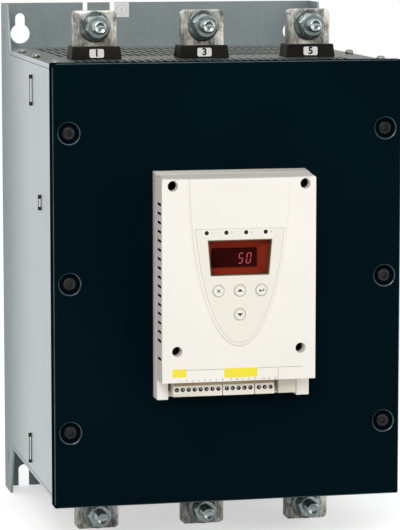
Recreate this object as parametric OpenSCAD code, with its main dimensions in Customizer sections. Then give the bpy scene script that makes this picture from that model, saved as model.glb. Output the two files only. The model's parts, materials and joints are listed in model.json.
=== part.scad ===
// Soft starter in a folded sheet case, with a control module on its front cover.
// X runs to the right, Y into the wall and Z up. The origin is the centre of the rear face.
// Depths are measured forward from the rear face, so a depth d lies at y = -d.

/* [Case] */
// Outer width of the sheet case
case_w = 295; // [250:1:340]
// Height of the closed case
case_h = 369; // [320:1:420]
// Depth of the case's front edges
case_d = 293; // [250:1:340]
// Height of the case's centre above the rear plate's centre
case_lift = 1.5; // [0:0.5:6]
// Thickness of the folded chassis sheet
sheet_t = 2; // [1.5:0.25:2.5]
// Depth of the side ears at their tips
ear_tip_d = 34; // [26:1:40]
// Depth of the side ears where they meet the case
ear_foot_d = 50; // [44:1:60]
// Width of the side panels' in-turned flanges
flange_w = 22; // [18:1:26]
// Width of the slots in the side panels
side_slot_w = 4; // [3:0.5:6]
// Length of the long side slots
side_slot_long = 27; // [20:1:32]
// Length of the short side slots
side_slot_short = 13.5; // [10:0.5:16]

/* [Wall mounts] */
// Distance of the wall screws from the case's sides
mount_inset = 17.5; // [14:0.5:24]
// Diameter of the keyholes' round openings
keyhole_d = 18; // [15:0.5:19]
// Width of the keyholes' slots
keyhole_slot_w = 9; // [7:0.5:11]
// Distance from the plate's top edge down to the keyholes' centres
keyhole_drop = 28.5; // [27:0.5:30]
// Rise from a keyhole's centre to the round end of its slot
keyhole_rise = 14.5; // [12:0.5:17]
// Width of the open slots in the plate's foot
foot_slot_w = 10; // [7:0.5:11]
// Height of the foot slots' round ends above the plate's foot
foot_slot_rise = 15; // [6:0.5:18]
// Width of the earth tongue in the plate's head
tongue_w = 21; // [15:1:26]
// Distance of the earth tongue left of the centre
tongue_x = 56; // [50:1:60]
// Width of the notches beside the earth tongue
notch_w = 4.5; // [3:0.5:6]
// Depth of the notches beside the earth tongue
notch_h = 9; // [6:0.5:12]
// Diameter of the earth hole in the tongue
earth_hole_d = 6.5; // [5:0.5:8]

/* [Top and bottom panels] */
// Thickness of the top and bottom panels
panel_t = 1.5; // [1:0.25:2]
// Gap round a panel or a tray between the side panels
panel_gap = 0.3; // [0.2:0.05:0.6]
// Height of the panels' front flanges
panel_lip_h = 14; // [10:1:18]
// Width of one air slot
vent_w = 3.6; // [2.5:0.1:4.5]
// Length of one air slot
vent_l = 41; // [30:1:43]
// Width of the bridge between neighbouring air slots
vent_bridge = 3.3; // [2.5:0.1:5]
// Gap between the rows of air slots
vent_row_gap = 6; // [4:0.5:8]
// Depth of the first row of air slots
vent_first_d = 25; // [20:1:28]
// Gap between the terminal shrouds and the row of air slots in front of them
vent_gap = 8; // [4:0.5:10]
// Plain strip between the case's flanges and the air slots
vent_margin = 5.5; // [4:0.5:20]
// Diameter of the panel screws' shanks
panel_screw_d = 4; // [3:0.5:5]
// Diameter of the panel screws' pan heads
panel_screw_head_d = 7.5; // [6:0.5:8.5]
// Height of the panel screws' pan heads
panel_screw_head_h = 3.75; // [2:0.25:4]
// Length of the panel screws' shanks
panel_screw_l = 8; // [6:0.5:12]
// Distance of the panel screws' axes inside the side panels
panel_screw_inset = 4.25; // [4.25:0.25:11]
// Radial room round a clearance shank
screw_room = 0.3; // [0.2:0.05:0.6]
// Radial play of a shank in its thread or of a pin in its bore
thread_play = 0.05; // [0.02:0.01:0.1]

/* [Front cover] */
// Thickness of the cover's wall
cover_t = 2; // [1.5:0.25:3]
// Gap between the case and the cover's lips
cover_gap = 0.6; // [0.3:0.1:1]
// Depth of the cover's lips
cover_lip_d = 14; // [11:1:24]
// Rounding of the cover's outer front edges
cover_edge_r = 1.5; // [1:0.25:2]
// Depth of the screw cups behind the cover's wall
cup_depth = 5; // [3:0.5:7]
// Inner diameter of the screw cups
cup_d = 17; // [15:0.5:19]
// Distance of the cover screws from the case's sides
cover_screw_inset = 11.5; // [11:0.25:13]
// Distance of the outer cover screws from the case's top and bottom
cover_screw_end = 58.5; // [30:0.5:70]
// Rise of the cover's middle screws above the middle of the case
cover_screw_lift = 3; // [0:0.5:6]
// Diameter of the cover screws' shanks
cover_screw_d = 6; // [5:0.5:7]
// Diameter of the cover screws' heads
cover_screw_head_d = 11; // [9:0.5:12.5]
// Height of the cover screws' heads
cover_screw_head_h = 3.6; // [2.5:0.2:4.6]
// Length of the cover screws' shanks
cover_screw_l = 12; // [9:0.5:14]

/* [Power terminals] */
// Gap between the outer shrouds and the case's flanges
shroud_side_gap = 6.5; // [3:0.25:10]
// Width of the copper bars
bar_w = 38; // [34:1:42]
// Thickness of the copper bars
bar_t = 10; // [8:0.5:12]
// Distance of the bars' front faces behind the case's front edges
bar_drop = 96; // [86:1:110]
// Chamfer of the bars' free corners
bar_chamfer = 2.5; // [1:0.5:4]
// Distance from a bar's free end to its bolt
bolt_drop = 13.7; // [12.5:0.1:15]
// Thread diameter of the terminal bolts
bolt_d = 12; // [10:0.5:13]
// Width across flats of the bolt heads and nuts
nut_af = 19; // [17:0.5:21]
// Thickness of the nuts
nut_h = 10; // [8:0.5:12]
// Thickness of the bolt heads
bolt_head_h = 7.5; // [6:0.5:9]
// Reach of the bolts in front of their nuts
bolt_reach = 10; // [6:1:14]
// Outer diameter of the flat washers
washer_d = 27; // [25:0.5:27.5]
// Gap between a shroud and the washer in front of its bar
washer_gap = 3.3; // [1:0.1:6]
// Thickness of the flat washers
washer_t = 2.5; // [2:0.25:3]
// Outer diameter of the spring washers
spring_washer_d = 20.5; // [19:0.5:22]
// Thickness of the spring washers
spring_washer_t = 3; // [2:0.25:4]
// Width of a terminal shroud at its foot
shroud_w = 44; // [43:0.5:50]
// Taper of a shroud's sides over its height
shroud_taper = 1.2; // [0.5:0.1:2]
// Height of a terminal shroud
shroud_h = 11; // [9:0.5:13]
// Wall of a shroud in front of and behind its bar
shroud_wall = 8; // [6:0.5:9]
// Gap between a shroud and its bar or its panel
shroud_gap = 0.3; // [0.2:0.05:0.5]
// Length of a shroud's neck below the panel
shroud_neck_l = 7; // [5:0.5:10]
// Thickness of a shroud's neck
shroud_neck_t = 1.5; // [1:0.25:1.5]

/* [Power stack] */
// Gap between the heat sink and the case's side sheets
sink_side_gap = 16.5; // [12:0.5:25]
// Gap between the fans and the heat sink
sink_fan_gap = 35; // [20:1:50]
// Distance of the heat sink below the case's top
sink_head = 37.5; // [25:0.5:60]
// Depth of the heat sink's fins
fin_d = 72; // [60:1:78]
// Thickness of one fin
fin_t = 2.4; // [1.8:0.1:3.2]
// Distance between neighbouring fins
fin_pitch = 8; // [7:0.25:10]
// Thickness of the heat sink's base
sink_base_t = 16; // [12:1:20]
// Width of a thyristor module
thyristor_w = 60; // [50:1:70]
// Height of a thyristor module
thyristor_h = 124; // [116:1:130]
// Thickness of a thyristor module
thyristor_d = 40; // [34:1:44]
// Distance of a thyristor module's terminal pads from its middle
pad_z = 36; // [30:1:38]
// Side length of a terminal pad
pad_w = 28; // [24:1:30]
// Height of a terminal pad
pad_h = 4; // [3:0.5:6]
// Width of a current transformer
transformer_w = 66; // [60:1:74]
// Wall of a current transformer in front of and behind its bar
transformer_wall = 15; // [12:0.5:17]
// Height of a current transformer
transformer_h = 28; // [22:1:32]
// Distance of the current transformers below the case's centre
transformer_drop = 112; // [106:1:120]

/* [Fans] */
// Side length of a fan's frame
fan_w = 80; // [70:1:84]
// Height of a fan's frame
fan_h = 25; // [20:1:28]
// Shift of each fan from the middle of its half of the case towards the case's middle
fan_shift = 10.75; // [0:0.25:16]
// Gap between the rear plate and the fans
fan_gap = 7; // [3:0.5:10]
// Wall left at the edge of a fan's air duct
fan_rim = 2; // [1.5:0.5:3]
// Diameter of a rotor's hub
hub_d = 32; // [26:1:36]
// Diameter of a fan's shaft
fan_shaft_d = 4; // [3:0.5:5]
// Gap between the blades and the air duct
blade_gap = 1.2; // [0.8:0.1:2]
// Thickness of one blade
blade_t = 1.6; // [1.2:0.1:2.5]
// Lean of the blades from upright
blade_lean = 42; // [30:1:50]
// Thickness of the motor plate under a rotor
motor_plate_h = 4; // [3:0.5:6]
// Width of the spokes that hold the motor plate
spoke_w = 4; // [3:0.5:6]
// Diameter of the holes in a fan frame's corners
fan_hole_d = 4.5; // [3.5:0.1:5]

/* [Bypass contactor] */
// Distance of the board tray's rear face behind the case's front edges
tray_drop = 24; // [22:0.5:28]
// Distance of the board tray's ends from the case's top and bottom
tray_end = 34.5; // [20:0.5:45]
// Depth of the tray's side flanges
tray_flange_d = 15; // [10:1:18]
// Thickness of the fixed and moving contact tips
tip_t = 2.5; // [2:0.25:3]
// Width of the contact tips
tip_w = 24; // [18:1:30]
// Gap between the contact tips and the bends of the bars
tip_gap = 1; // [0.5:0.25:3]
// Height of a contact tip
tip_h = 12; // [8:1:14]
// Travel of the moving contacts
contact_travel = 6; // [4:0.25:6.5]
// Air left between the tips at the end of the travel
contact_air = 0.3; // [0.2:0.05:0.4]
// Width of a bridge
bridge_w = 26; // [20:1:32]
// Thickness of a bridge
bridge_t = 4; // [3:0.5:4.5]
// Height of the carrier's crossbeam
beam_h = 26; // [20:1:30]
// Thickness of the carrier's crossbeam
beam_t = 12; // [9:0.5:12]
// Overhang of the crossbeam past the outer bridges
beam_over = 8; // [4:1:12]
// Side length of the push rods
rod_w = 7; // [5:0.5:8]
// Gap between the magnet core and the push rods
rod_gap = 7.5; // [5:0.5:12]
// Thickness of the armature
armature_t = 6; // [4:0.5:6.5]
// Width of the magnet core and of the armature's pole face
core_w = 54; // [46:1:56]
// Height of the magnet core
core_h = 28; // [22:1:30]
// Thickness of the core's back and of each outer leg
core_leg = 8; // [6:0.5:9]
// Thickness of the magnet bracket's sheet
bracket_t = 3; // [2:0.25:3.5]
// Gap between the push rods and the magnet bracket's legs
bracket_gap = 21.5; // [12:0.5:25]
// Distance from the pole faces back to the magnet coil
coil_drop = 1.2; // [1:0.1:1.5]
// Gap between the resting carrier and the fixed sheets before and behind it
carrier_gap = 1; // [0.6:0.1:1.5]

/* [Circuit boards] */
// Thickness of the circuit boards
board_t = 1.6; // [1.2:0.1:2]
// Width of the power board
power_board_w = 210; // [180:1:230]
// Height of the power board
power_board_h = 190; // [160:1:220]
// Height of the posts under the power board
post_h = 8; // [6:0.5:9]
// Diameter of the posts
post_d = 8; // [6:0.5:10]
// Distance of the posts from the board's corners
post_inset = 8; // [6:0.5:12]
// Height of the supply transformer on the power board
supply_h = 12; // [8:0.5:12]
// Side length of the supply transformer
supply_w = 45; // [35:1:55]

/* [Control module] */
// Height of the control module
module_h = 191; // [170:1:230]
// Height of the control module's centre above the case's centre
module_rise = 1; // [0:0.5:4]
// Depth of the module's base in front of the cover
base_d = 17; // [16:0.5:20]
// Depth of the module's shell in front of its base
shell_d = 21; // [19:0.5:24]
// Rise of the shield above the shell's front
shield_rise = 2; // [1:0.25:3]
// Thickness of the module's walls
module_wall = 2.5; // [2:0.1:3]
// Fall of the module's top towards the front
top_fall = 3.6; // [1:0.2:4]
// Height of the terminal strip under the shell
strip_h = 17.5; // [16:0.5:20]
// Width of the shield at the module's top
shield_w = 85; // [82:1:88]
// Distance of the shield's tip above the shell's bottom edge
shield_end = 30; // [25:0.5:38]
// Width of the keypad film's border of bare shield
film_inset = 2.2; // [2:0.1:5]
// Thickness of the keypad film
film_t = 0.3; // [0.2:0.05:0.5]
// Distance of the film's straight edge above the status lamps
film_rise = 3.5; // [3.5:0.25:8]
// Width of the left post of the terminal strip
post_left_w = 9.5; // [7:0.5:12]
// Width of the right post of the terminal strip
post_right_w = 11; // [7:0.5:12]
// Plain strip between the shell's bottom edge and its lowest air slot
side_vent_end = 19; // [15:0.5:40]
// Distance between the module's air slots
side_vent_pitch = 7.6; // [7:0.1:7.8]
// Height of one of the module's air slots
side_vent_h = 2.4; // [1.5:0.1:3]
// Length of one of the module's air slots
side_vent_l = 16; // [10:0.5:17]
// Distance from the module's top down to its first air slot
side_vent_drop = 25; // [24:0.5:30]

/* [Display and keys] */
// Width of the display opening at its top
display_w = 55; // [50:0.5:58]
// Taper of the display opening on each side
display_taper = 2.6; // [1:0.1:4]
// Height of the display opening
display_h = 30; // [26:0.5:31]
// Distance of the display's centre above the upper keys
display_rise = 27.5; // [26:0.5:31]
// Width of the numeric display
digits_w = 37.5; // [34:0.5:42]
// Height of the numeric display
digits_h = 15; // [12:0.5:18]
// Distance of the numeric display below the middle of its opening
digits_drop = 1; // [0:0.25:3]
// Thickness of the numeric display
digits_d = 8; // [6:0.5:8.5]
// Distance of the numeric display left of the middle
digits_x = 2.5; // [0:0.5:4]
// Thickness of the red display window
window_t = 2; // [1.5:0.25:2.5]
// Overlap of the window behind the shell
window_lap = 2; // [1:0.25:2.5]
// Diameter of the status lamps
led_d = 3.2; // [2.5:0.1:4]
// Distance between the status lamps
led_pitch = 16.7; // [14:0.1:18]
// Distance of the row of status lamps left of the middle
led_x = 3.2; // [0:0.1:5]
// Distance of the status lamps above the display's centre
led_rise = 21; // [19:0.5:24]
// Radial gap round a lamp or a key
key_gap = 0.25; // [0.15:0.05:0.3]
// Diameter of the keys
key_d = 10; // [9:0.25:11]
// Distance of the side keys from the middle
key_x = 18.2; // [16:0.1:19]
// Distance from the upper keys down to the lower key
key_step = 20; // [16:0.5:24]
// Distance of the lower key above the shield's tip
key_rise = 26.5; // [20:0.5:28]
// Rise of the keys above the film
key_proud = 0.9; // [0.6:0.1:1.5]
// Travel of the keys
key_travel = 0.6; // [0.3:0.1:0.8]
// Rim of a key behind the shell
key_rim = 1; // [0.6:0.1:1.5]
// Depth of the display board's front in front of the cover
display_board_d = 24; // [23.5:0.25:25]
// Side length of a key switch
switch_w = 6; // [5:0.5:8]
// Height of a key switch
switch_h = 4; // [3:0.25:5]

/* [Control terminals] */
// Distance between neighbouring control terminals
way_pitch = 5.08; // [5:0.01:5.2]
// Gap between neighbouring plugs
plug_gap = 0.8; // [0.5:0.1:1.2]
// Distance of the first plug from the left post
plug_margin = 3; // [1:0.25:6]
// Gap between the last plug and the network socket
socket_gap = 3.92; // [1:0.02:8]
// Gap between the network socket and the right post
socket_margin = 1.5; // [0.5:0.25:4]
// Height of a plug
plug_h = 11.5; // [10:0.25:12.5]
// Depth of a plug with its header
plug_d = 14; // [12:0.5:16]
// Wall at each end of a plug
plug_end = 0.7; // [0.4:0.1:0.8]
// Diameter of a plug's clamp screws
clamp_d = 3.4; // [2.8:0.1:3.8]
// Width of a plug's wire entries
entry_w = 3.2; // [2.5:0.1:3.6]
// Depth of a plug's wire entries
entry_l = 6; // [4:0.25:8]
// Width of the network socket's body
socket_w = 15; // [13.5:0.5:16]
// Depth of the network socket's body
socket_d = 13; // [11:0.5:14]
// Width of the network socket's opening
socket_open_w = 11.8; // [11:0.1:12]
// Depth of the network socket's opening from front to back
socket_open_h = 7; // [6:0.25:7.5]

/* [Module screws] */
// Distance of the upper module screws from the module's sides
upper_screw_inset = 9.2; // [8.5:0.1:12]
// Distance of the lower module screws from the module's sides
lower_screw_inset = 12.8; // [10:0.1:16]
// Distance from the module's top down to the upper screws
upper_screw_drop = 9.3; // [9:0.1:12]
// Distance of the lower module screws above the shell's bottom edge
lower_screw_rise = 26.2; // [20:0.1:32]
// Diameter of the module screws' shanks
module_screw_d = 4; // [3:0.25:4.5]
// Diameter of the module screws' heads
module_screw_head_d = 7; // [6:0.25:7.5]
// Height of the module screws' heads
module_screw_head_h = 2.6; // [2:0.2:3.2]
// Inner diameter of the wells for the module screws
screw_well_d = 8.6; // [8:0.1:9]
// Wall of the wells for the module screws
screw_well_wall = 1.4; // [1:0.1:1.6]
// Depth of the wells' floors in front of the cover
screw_well_floor_d = 10; // [8:0.5:12]
// Depth of the threaded bosses behind the cover's wall
boss_d = 6; // [4:0.5:8]

/* [Link cable] */
// Width of the flat link cable
cable_w = 30; // [20:1:40]
// Thickness of the flat link cable
cable_t = 1; // [0.8:0.1:1.4]
// Height of the link cable's plugs
cable_plug_h = 8; // [6:0.5:9]
// Depth of the link cable's plugs
cable_plug_d = 6; // [5:0.25:7]
// Distance of the link cable below the module's centre
cable_drop = 20; // [10:1:30]

/* [Hidden] */

$fn = 64;
// Length by which a cutting tool overruns what it cuts
over = 1;

// Case
case_top = case_lift + case_h / 2;
case_bottom = case_lift - case_h / 2;
inner_x = case_w / 2 - sheet_t;
flange_x = inner_x - flange_w;
mount_x = case_w / 2 - mount_inset;
// Depth share, height share and length of each slot in a side panel
side_slot_shares = [[0.61, 0.426], [0.76, 0.173], [0.545, -0.438]];
side_slot_lengths = [side_slot_long, side_slot_short, side_slot_long];
// Height share of the case at which the tray hooks into the side panels
tray_hook_shares = [0.2425, -0.2425];
// Depth share and height share of the slots in the ears
ear_slot_shares = [0.6, 0.3];
// Depth shares of the screws along the panels
panel_screw_shares = [0.29, 0.56, 0.905];
panel_screw_x = inner_x - panel_screw_inset;

// Power terminals, whose bars end level with the rear plate
phases = [-1, 0, 1];
phase_pitch = flange_x - shroud_side_gap - shroud_w / 2;
bar_d = case_d - bar_drop;
bolt_z = case_top + shroud_h + washer_gap + washer_d / 2;
shroud_d = bar_t + 2 * shroud_wall;
shroud_front_d = bar_d - bar_t / 2 + shroud_d / 2;
washer_front_d = bar_d + washer_t + spring_washer_t;
bolt_front_d = washer_front_d + nut_h + bolt_reach;
// Diameter at which a thread meets its nut, as a share of its outer diameter
thread_share = 0.9;

// Rear plate
plate_h = 2 * (bolt_z + bolt_drop);
keyhole_z = plate_h / 2 - keyhole_drop;
foot_slot_z = -plate_h / 2 + foot_slot_rise;

// Air slots, in rows behind and in front of the terminals
vent_pitch = vent_w + vent_bridge;
vent_row_pitch = vent_l + vent_row_gap;
vent_count = floor(2 * (flange_x - vent_margin) / vent_pitch) + 1;
rear_vent_rows = floor((shroud_front_d - shroud_d - vent_first_d) / vent_row_pitch);
front_vent_rows = floor((case_d - shroud_front_d - vent_gap) / vent_row_pitch);
vent_row_depths = concat(
  [for (i = [0 : rear_vent_rows - 1]) vent_first_d + i * vent_row_pitch],
  [for (i = [0 : front_vent_rows - 1]) shroud_front_d + vent_gap + i * vent_row_pitch]
);

// Cover
cover_screw_x = case_w / 2 - cover_screw_inset;
cover_screw_pitch = case_h / 2 - cover_screw_end;
cover_screw_z = case_lift + cover_screw_lift;
cover_d = case_d + cup_depth + cover_t;
cover_x = case_w / 2 + cover_gap + cover_t;
cover_top = case_top + cover_gap + cover_t;
cover_bottom = case_bottom - cover_gap - cover_t;

// Fans, standing on the bottom panel
fan_bottom = case_bottom + panel_t;
fan_duct_d = fan_w - 2 * fan_rim;
fan_d = sheet_t + fan_gap + fan_w / 2;
fan_x = inner_x / 2 - fan_shift;

// Power stack
sink_w = 2 * (inner_x - sink_side_gap);
sink_low = fan_bottom + fan_h + sink_fan_gap;
sink_high = case_top - sink_head;
sink_front_d = sheet_t + fin_d + sink_base_t;
fin_count = floor((sink_w - fin_t) / fin_pitch) + 1;
pad_d = sink_front_d + thyristor_d + pad_h;

// Bypass contactor
tray_d = case_d - tray_drop;
tray_h = case_h - 2 * tray_end;
tray_t = panel_t;
tip_z = pad_z + pad_w / 2 + bar_t + tip_gap + tip_h / 2;
rod_x = core_w / 2 + rod_gap + rod_w / 2;
bracket_x = rod_x + rod_w / 2 + bracket_gap + bracket_t;
tip_rest_d = bar_d + 2 * tip_t + contact_travel + contact_air;
beam_back_d = tip_rest_d + bridge_t;
beam_front_d = beam_back_d + beam_t;
bracket_back_d = beam_front_d + carrier_gap;
core_back_d = bracket_back_d + bracket_t;
armature_front_d = tray_d - carrier_gap;
armature_back_d = armature_front_d - armature_t;
core_front_d = armature_back_d - contact_travel - contact_air;

// Boards
power_board_d = tray_d + tray_t + post_h;

// Control module, as wide as its row of terminals needs
plug_ways = [8, 5, 3];
plug_w = [for (ways = plug_ways) ways * way_pitch + 2 * plug_end];
plugs_w = plug_w[0] + plug_w[1] + plug_w[2] + 2 * plug_gap;
module_w = post_left_w + plug_margin + plugs_w + socket_gap + socket_w + socket_margin + post_right_w;
module_x = module_w / 2;
module_top = case_lift + module_rise + module_h / 2;
module_bottom = module_top - module_h;
shell_bottom = module_bottom + strip_h;
base_front_d = cover_d + base_d;
shell_front_d = base_front_d + shell_d;
shield_front_d = shell_front_d + shield_rise;
shell_inner_d = shell_front_d - module_wall;
// Fall of the module's top for each millimetre of depth
fall_share = top_fall / (base_d + shell_d + shield_rise);
shield_tip_z = shell_bottom + shield_end;
shield_l = module_top - shield_tip_z;
key_z = shield_tip_z + key_rise + key_step;
display_z = key_z + display_rise;
led_z = display_z + led_rise;
film_z = led_z + film_rise;
// Steps between the shell's first and last air slot
side_vent_steps = floor((module_top - side_vent_drop - side_vent_end - shell_bottom) / side_vent_pitch);
cable_z = module_top - module_h / 2 - cable_drop;
window_front_d = shell_inner_d;
display_board_front_d = cover_d + display_board_d;
control_board_front_d = cover_d + module_wall + post_h / 2 + board_t;
plug_top = shell_bottom - (strip_h - plug_h) / 2;
plug_8_x = -module_x + post_left_w + plug_margin;
plug_5_x = plug_8_x + plug_w[0] + plug_gap;
plug_3_x = plug_5_x + plug_w[1] + plug_gap;
socket_x = plug_3_x + plug_w[2] + socket_gap + socket_w / 2;
screw_places = [
  for (s = [-1, 1]) [s * (module_x - upper_screw_inset), module_top - upper_screw_drop],
  for (s = [-1, 1]) [s * (module_x - lower_screw_inset), shell_bottom + lower_screw_rise]
];
key_rest_d = shield_front_d + film_t + key_proud;
switch_front_d = display_board_front_d + switch_h;

// Shapes that many pieces share

// A box given by its two corners, with depths in place of y
module block(x0, x1, d0, d1, z0, z1) {
  translate([x0, -d1, z0]) cube([x1 - x0, d1 - d0, z1 - z0]);
}

// A cylinder that runs forward from one depth to another
module pin(d, d0, d1) {
  translate([0, -d0, 0]) rotate([90, 0, 0]) cylinder(d = d, h = d1 - d0);
}

// A flat outline in X and Z, given its thickness by two depths
module sheet_xz(d0, d1) {
  translate([0, -d0, 0]) rotate([90, 0, 0]) linear_extrude(d1 - d0) children();
}

// An outline in depth and Z, given its width by two places along X
module sheet_yz(x0, x1) {
  translate([x1, 0, 0]) rotate([90, 0, -90]) linear_extrude(x1 - x0) children();
}

// A slot with round ends between two points of a flat outline
module slot_2d(a, b, w) {
  length = norm(b - a);
  turn = atan2(b[1] - a[1], b[0] - a[0]);
  translate(a) rotate(turn) translate([0, -w / 2]) square([length, w]);
  for (end = [a, b]) translate(end) circle(d = w);
}

// Case

// Outline of a side panel with its ears, in depth and Z
module side_outline() {
  polygon([
    [0, -plate_h / 2], [ear_tip_d, -plate_h / 2], [ear_foot_d, case_bottom], [case_d, case_bottom],
    [case_d, case_top], [ear_foot_d, case_top], [ear_tip_d, plate_h / 2], [0, plate_h / 2]
  ]);
}

module side_slots() {
  for (i = [0 : len(side_slot_shares) - 1]) {
    d = side_slot_shares[i][0] * case_d;
    z = case_lift + side_slot_shares[i][1] * case_h;
    reach = (side_slot_lengths[i] - side_slot_w) / 2;
    slot_2d([d, z - reach], [d, z + reach], side_slot_w);
  }
  for (share = tray_hook_shares) {
    d = tray_d - tray_flange_d / 2;
    translate([d - side_slot_w / 2, case_lift + share * case_h - side_slot_short / 2])
      square([side_slot_w, side_slot_short]);
  }
  for (s = [-1, 1]) {
    ear_d = ear_slot_shares[0] * ear_tip_d;
    foot = s > 0 ? case_top : case_bottom;
    z = foot + ear_slot_shares[1] * (s * plate_h / 2 - foot);
    slot_2d([ear_d, z - side_slot_w], [ear_d, z + side_slot_w], side_slot_w);
  }
}

module rear_plate_outline() {
  difference() {
    translate([-case_w / 2, -plate_h / 2]) square([case_w, plate_h]);
    for (s = [-1, 1]) {
      x = s * mount_x;
      translate([x, keyhole_z]) circle(d = keyhole_d);
      slot_2d([x, keyhole_z], [x, keyhole_z + keyhole_rise], keyhole_slot_w);
      slot_2d([x, foot_slot_z], [x, -plate_h / 2 - foot_slot_w], foot_slot_w);
      translate([-tongue_x + s * (tongue_w + notch_w) / 2 - notch_w / 2, plate_h / 2 - notch_h])
        square([notch_w, notch_h + over]);
    }
    translate([-tongue_x, plate_h / 2 - notch_h / 2 - earth_hole_d]) circle(d = earth_hole_d);
  }
}

module chassis() {
  color("#c3c8c8") difference() {
    union() {
      sheet_xz(0, sheet_t) rear_plate_outline();
      for (s = [-1, 1]) {
        inner = s * inner_x;
        outer = s * case_w / 2;
        edge = s * flange_x;
        sheet_yz(min(inner, outer), max(inner, outer)) difference() {
          side_outline();
          side_slots();
        }
        block(min(edge, outer), max(edge, outer), case_d - sheet_t, case_d,
              case_bottom + panel_t, case_top - panel_t);
        for (t = [-1, 1]) {
          z = t > 0 ? case_top - panel_t - sheet_t : case_bottom + panel_t;
          block(min(edge, outer), max(edge, outer), ear_foot_d / 2, case_d, z, z + sheet_t);
        }
      }
    }
    for (s = [-1, 1]) {
      for (t = [-1, 0, 1]) translate([s * cover_screw_x, 0, cover_screw_z + t * cover_screw_pitch])
        pin(cover_screw_d + 2 * thread_play, case_d - sheet_t - over, case_d + over);
      for (share = panel_screw_shares)
        translate([s * panel_screw_x, -share * case_d, case_bottom])
          cylinder(d = panel_screw_d + 2 * thread_play, h = case_h);
    }
  }
}

// A slotted panel whose outer face lies at z = 0 and whose lip hangs down
module slotted_panel() {
  panel_x = inner_x - panel_gap;
  lip_x = flange_x - panel_gap;
  neck_w = bar_w + 2 * (shroud_neck_t + 2 * shroud_gap);
  neck_d = bar_t + 2 * (shroud_neck_t + 2 * shroud_gap);
  difference() {
    union() {
      block(-panel_x, panel_x, sheet_t, case_d, -panel_t, 0);
      block(-lip_x, lip_x, case_d - panel_t, case_d, -panel_lip_h, 0);
    }
    for (d = vent_row_depths) for (i = [0 : vent_count - 1]) {
      x = (i - (vent_count - 1) / 2) * vent_pitch;
      block(x - vent_w / 2, x + vent_w / 2, d, d + vent_l, -panel_t - over, over);
    }
    for (phase = phases) {
      x = phase * phase_pitch;
      d = bar_d - bar_t / 2;
      block(x - neck_w / 2, x + neck_w / 2, d - neck_d / 2, d + neck_d / 2, -panel_t - over, over);
    }
    for (s = [-1, 1]) for (share = panel_screw_shares)
      translate([s * panel_screw_x, -share * case_d, -panel_t - over])
        cylinder(d = panel_screw_d + 2 * screw_room, h = panel_t + 2 * over);
  }
}

module top_panel() {
  color("#b4baba") translate([0, 0, case_top]) slotted_panel();
}

module bottom_panel() {
  color("#b4baba") translate([0, 0, case_bottom]) mirror([0, 0, 1]) slotted_panel();
}

module panel_screw() {
  cylinder(d = panel_screw_head_d, h = panel_screw_head_h);
  translate([0, 0, -panel_screw_l])
    cylinder(d = panel_screw_d, h = panel_screw_l + panel_screw_head_h);
}

module panel_screws() {
  color("#d8dcd8") for (s = [-1, 1]) for (share = panel_screw_shares) {
    translate([s * panel_screw_x, -share * case_d, case_top]) panel_screw();
    translate([s * panel_screw_x, -share * case_d, case_bottom]) mirror([0, 0, 1]) panel_screw();
  }
}

// Front cover

module cover_outline(inset) {
  translate([-cover_x + inset, cover_bottom + inset])
    square([2 * (cover_x - inset), cover_top - cover_bottom - 2 * inset]);
}

// The cover's outer body, with its front edges drawn in by two steps
module cover_body() {
  back_d = cover_d - cover_lip_d;
  sheet_xz(back_d, cover_d - cover_edge_r) cover_outline(0);
  sheet_xz(back_d, cover_d - cover_edge_r / 3) cover_outline(cover_edge_r / 3);
  sheet_xz(back_d, cover_d) cover_outline(cover_edge_r);
}

module front_cover() {
  cup_floor_d = case_d;
  color("#04161c") difference() {
    union() {
      difference() {
        cover_body();
        sheet_xz(cover_d - cover_lip_d - over, cover_d - cover_t) cover_outline(cover_t);
      }
      for (s = [-1, 1]) for (t = [-1, 0, 1])
        translate([s * cover_screw_x, 0, cover_screw_z + t * cover_screw_pitch])
          pin(cup_d + 2 * cover_t, cup_floor_d, cover_d - cover_t / 2);
      for (place = screw_places) translate([place[0], 0, place[1]])
        pin(module_screw_d + 2 * cover_t, cover_d - cover_t - boss_d, cover_d - cover_t / 2);
    }
    for (s = [-1, 1]) for (t = [-1, 0, 1])
      translate([s * cover_screw_x, 0, cover_screw_z + t * cover_screw_pitch]) {
        pin(cup_d, cup_floor_d + cover_t, cover_d + over);
        pin(cover_screw_d + 2 * screw_room, cup_floor_d - over, cover_d);
      }
    for (place = screw_places) translate([place[0], 0, place[1]])
      pin(module_screw_d + 2 * thread_play, cover_d - cover_t - boss_d - over, cover_d + over);
    cable_window(cover_d - cover_t - over, cover_d + over);
  }
}

// The opening through which the link cable passes
module cable_window(d0, d1) {
  room = cable_plug_h / 2 + over;
  block(-cable_w / 2 - room, cable_w / 2 + room, d0, d1, cable_z - room, cable_z + room);
}

module cover_screws() {
  socket_share = 0.45;
  head_back_d = case_d + cover_t;
  color("#3a3f40") for (s = [-1, 1]) for (t = [-1, 0, 1])
    translate([s * cover_screw_x, 0, cover_screw_z + t * cover_screw_pitch]) difference() {
      union() {
        pin(cover_screw_head_d, head_back_d, head_back_d + cover_screw_head_h);
        pin(cover_screw_d, head_back_d - cover_screw_l, head_back_d + cover_screw_head_h * socket_share);
      }
      rotate([90, 0, 0]) translate([0, 0, head_back_d + cover_screw_head_h * (1 - socket_share)])
        cylinder(d = cover_screw_head_d * socket_share, h = cover_screw_head_h, $fn = 6);
    }
}

// Power terminals

// A frustum with a rectangular foot, made from two crossing prisms
module tapered_block(w, d, h, taper) {
  intersection() {
    translate([0, d / 2, 0]) rotate([90, 0, 0]) linear_extrude(d)
      polygon([[-w / 2, 0], [w / 2, 0], [w / 2 - taper, h], [-w / 2 + taper, h]]);
    translate([-w / 2, 0, 0]) rotate([90, 0, 90]) linear_extrude(w)
      polygon([[-d / 2, 0], [d / 2, 0], [d / 2 - taper, h], [-d / 2 + taper, h]]);
  }
}

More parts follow.
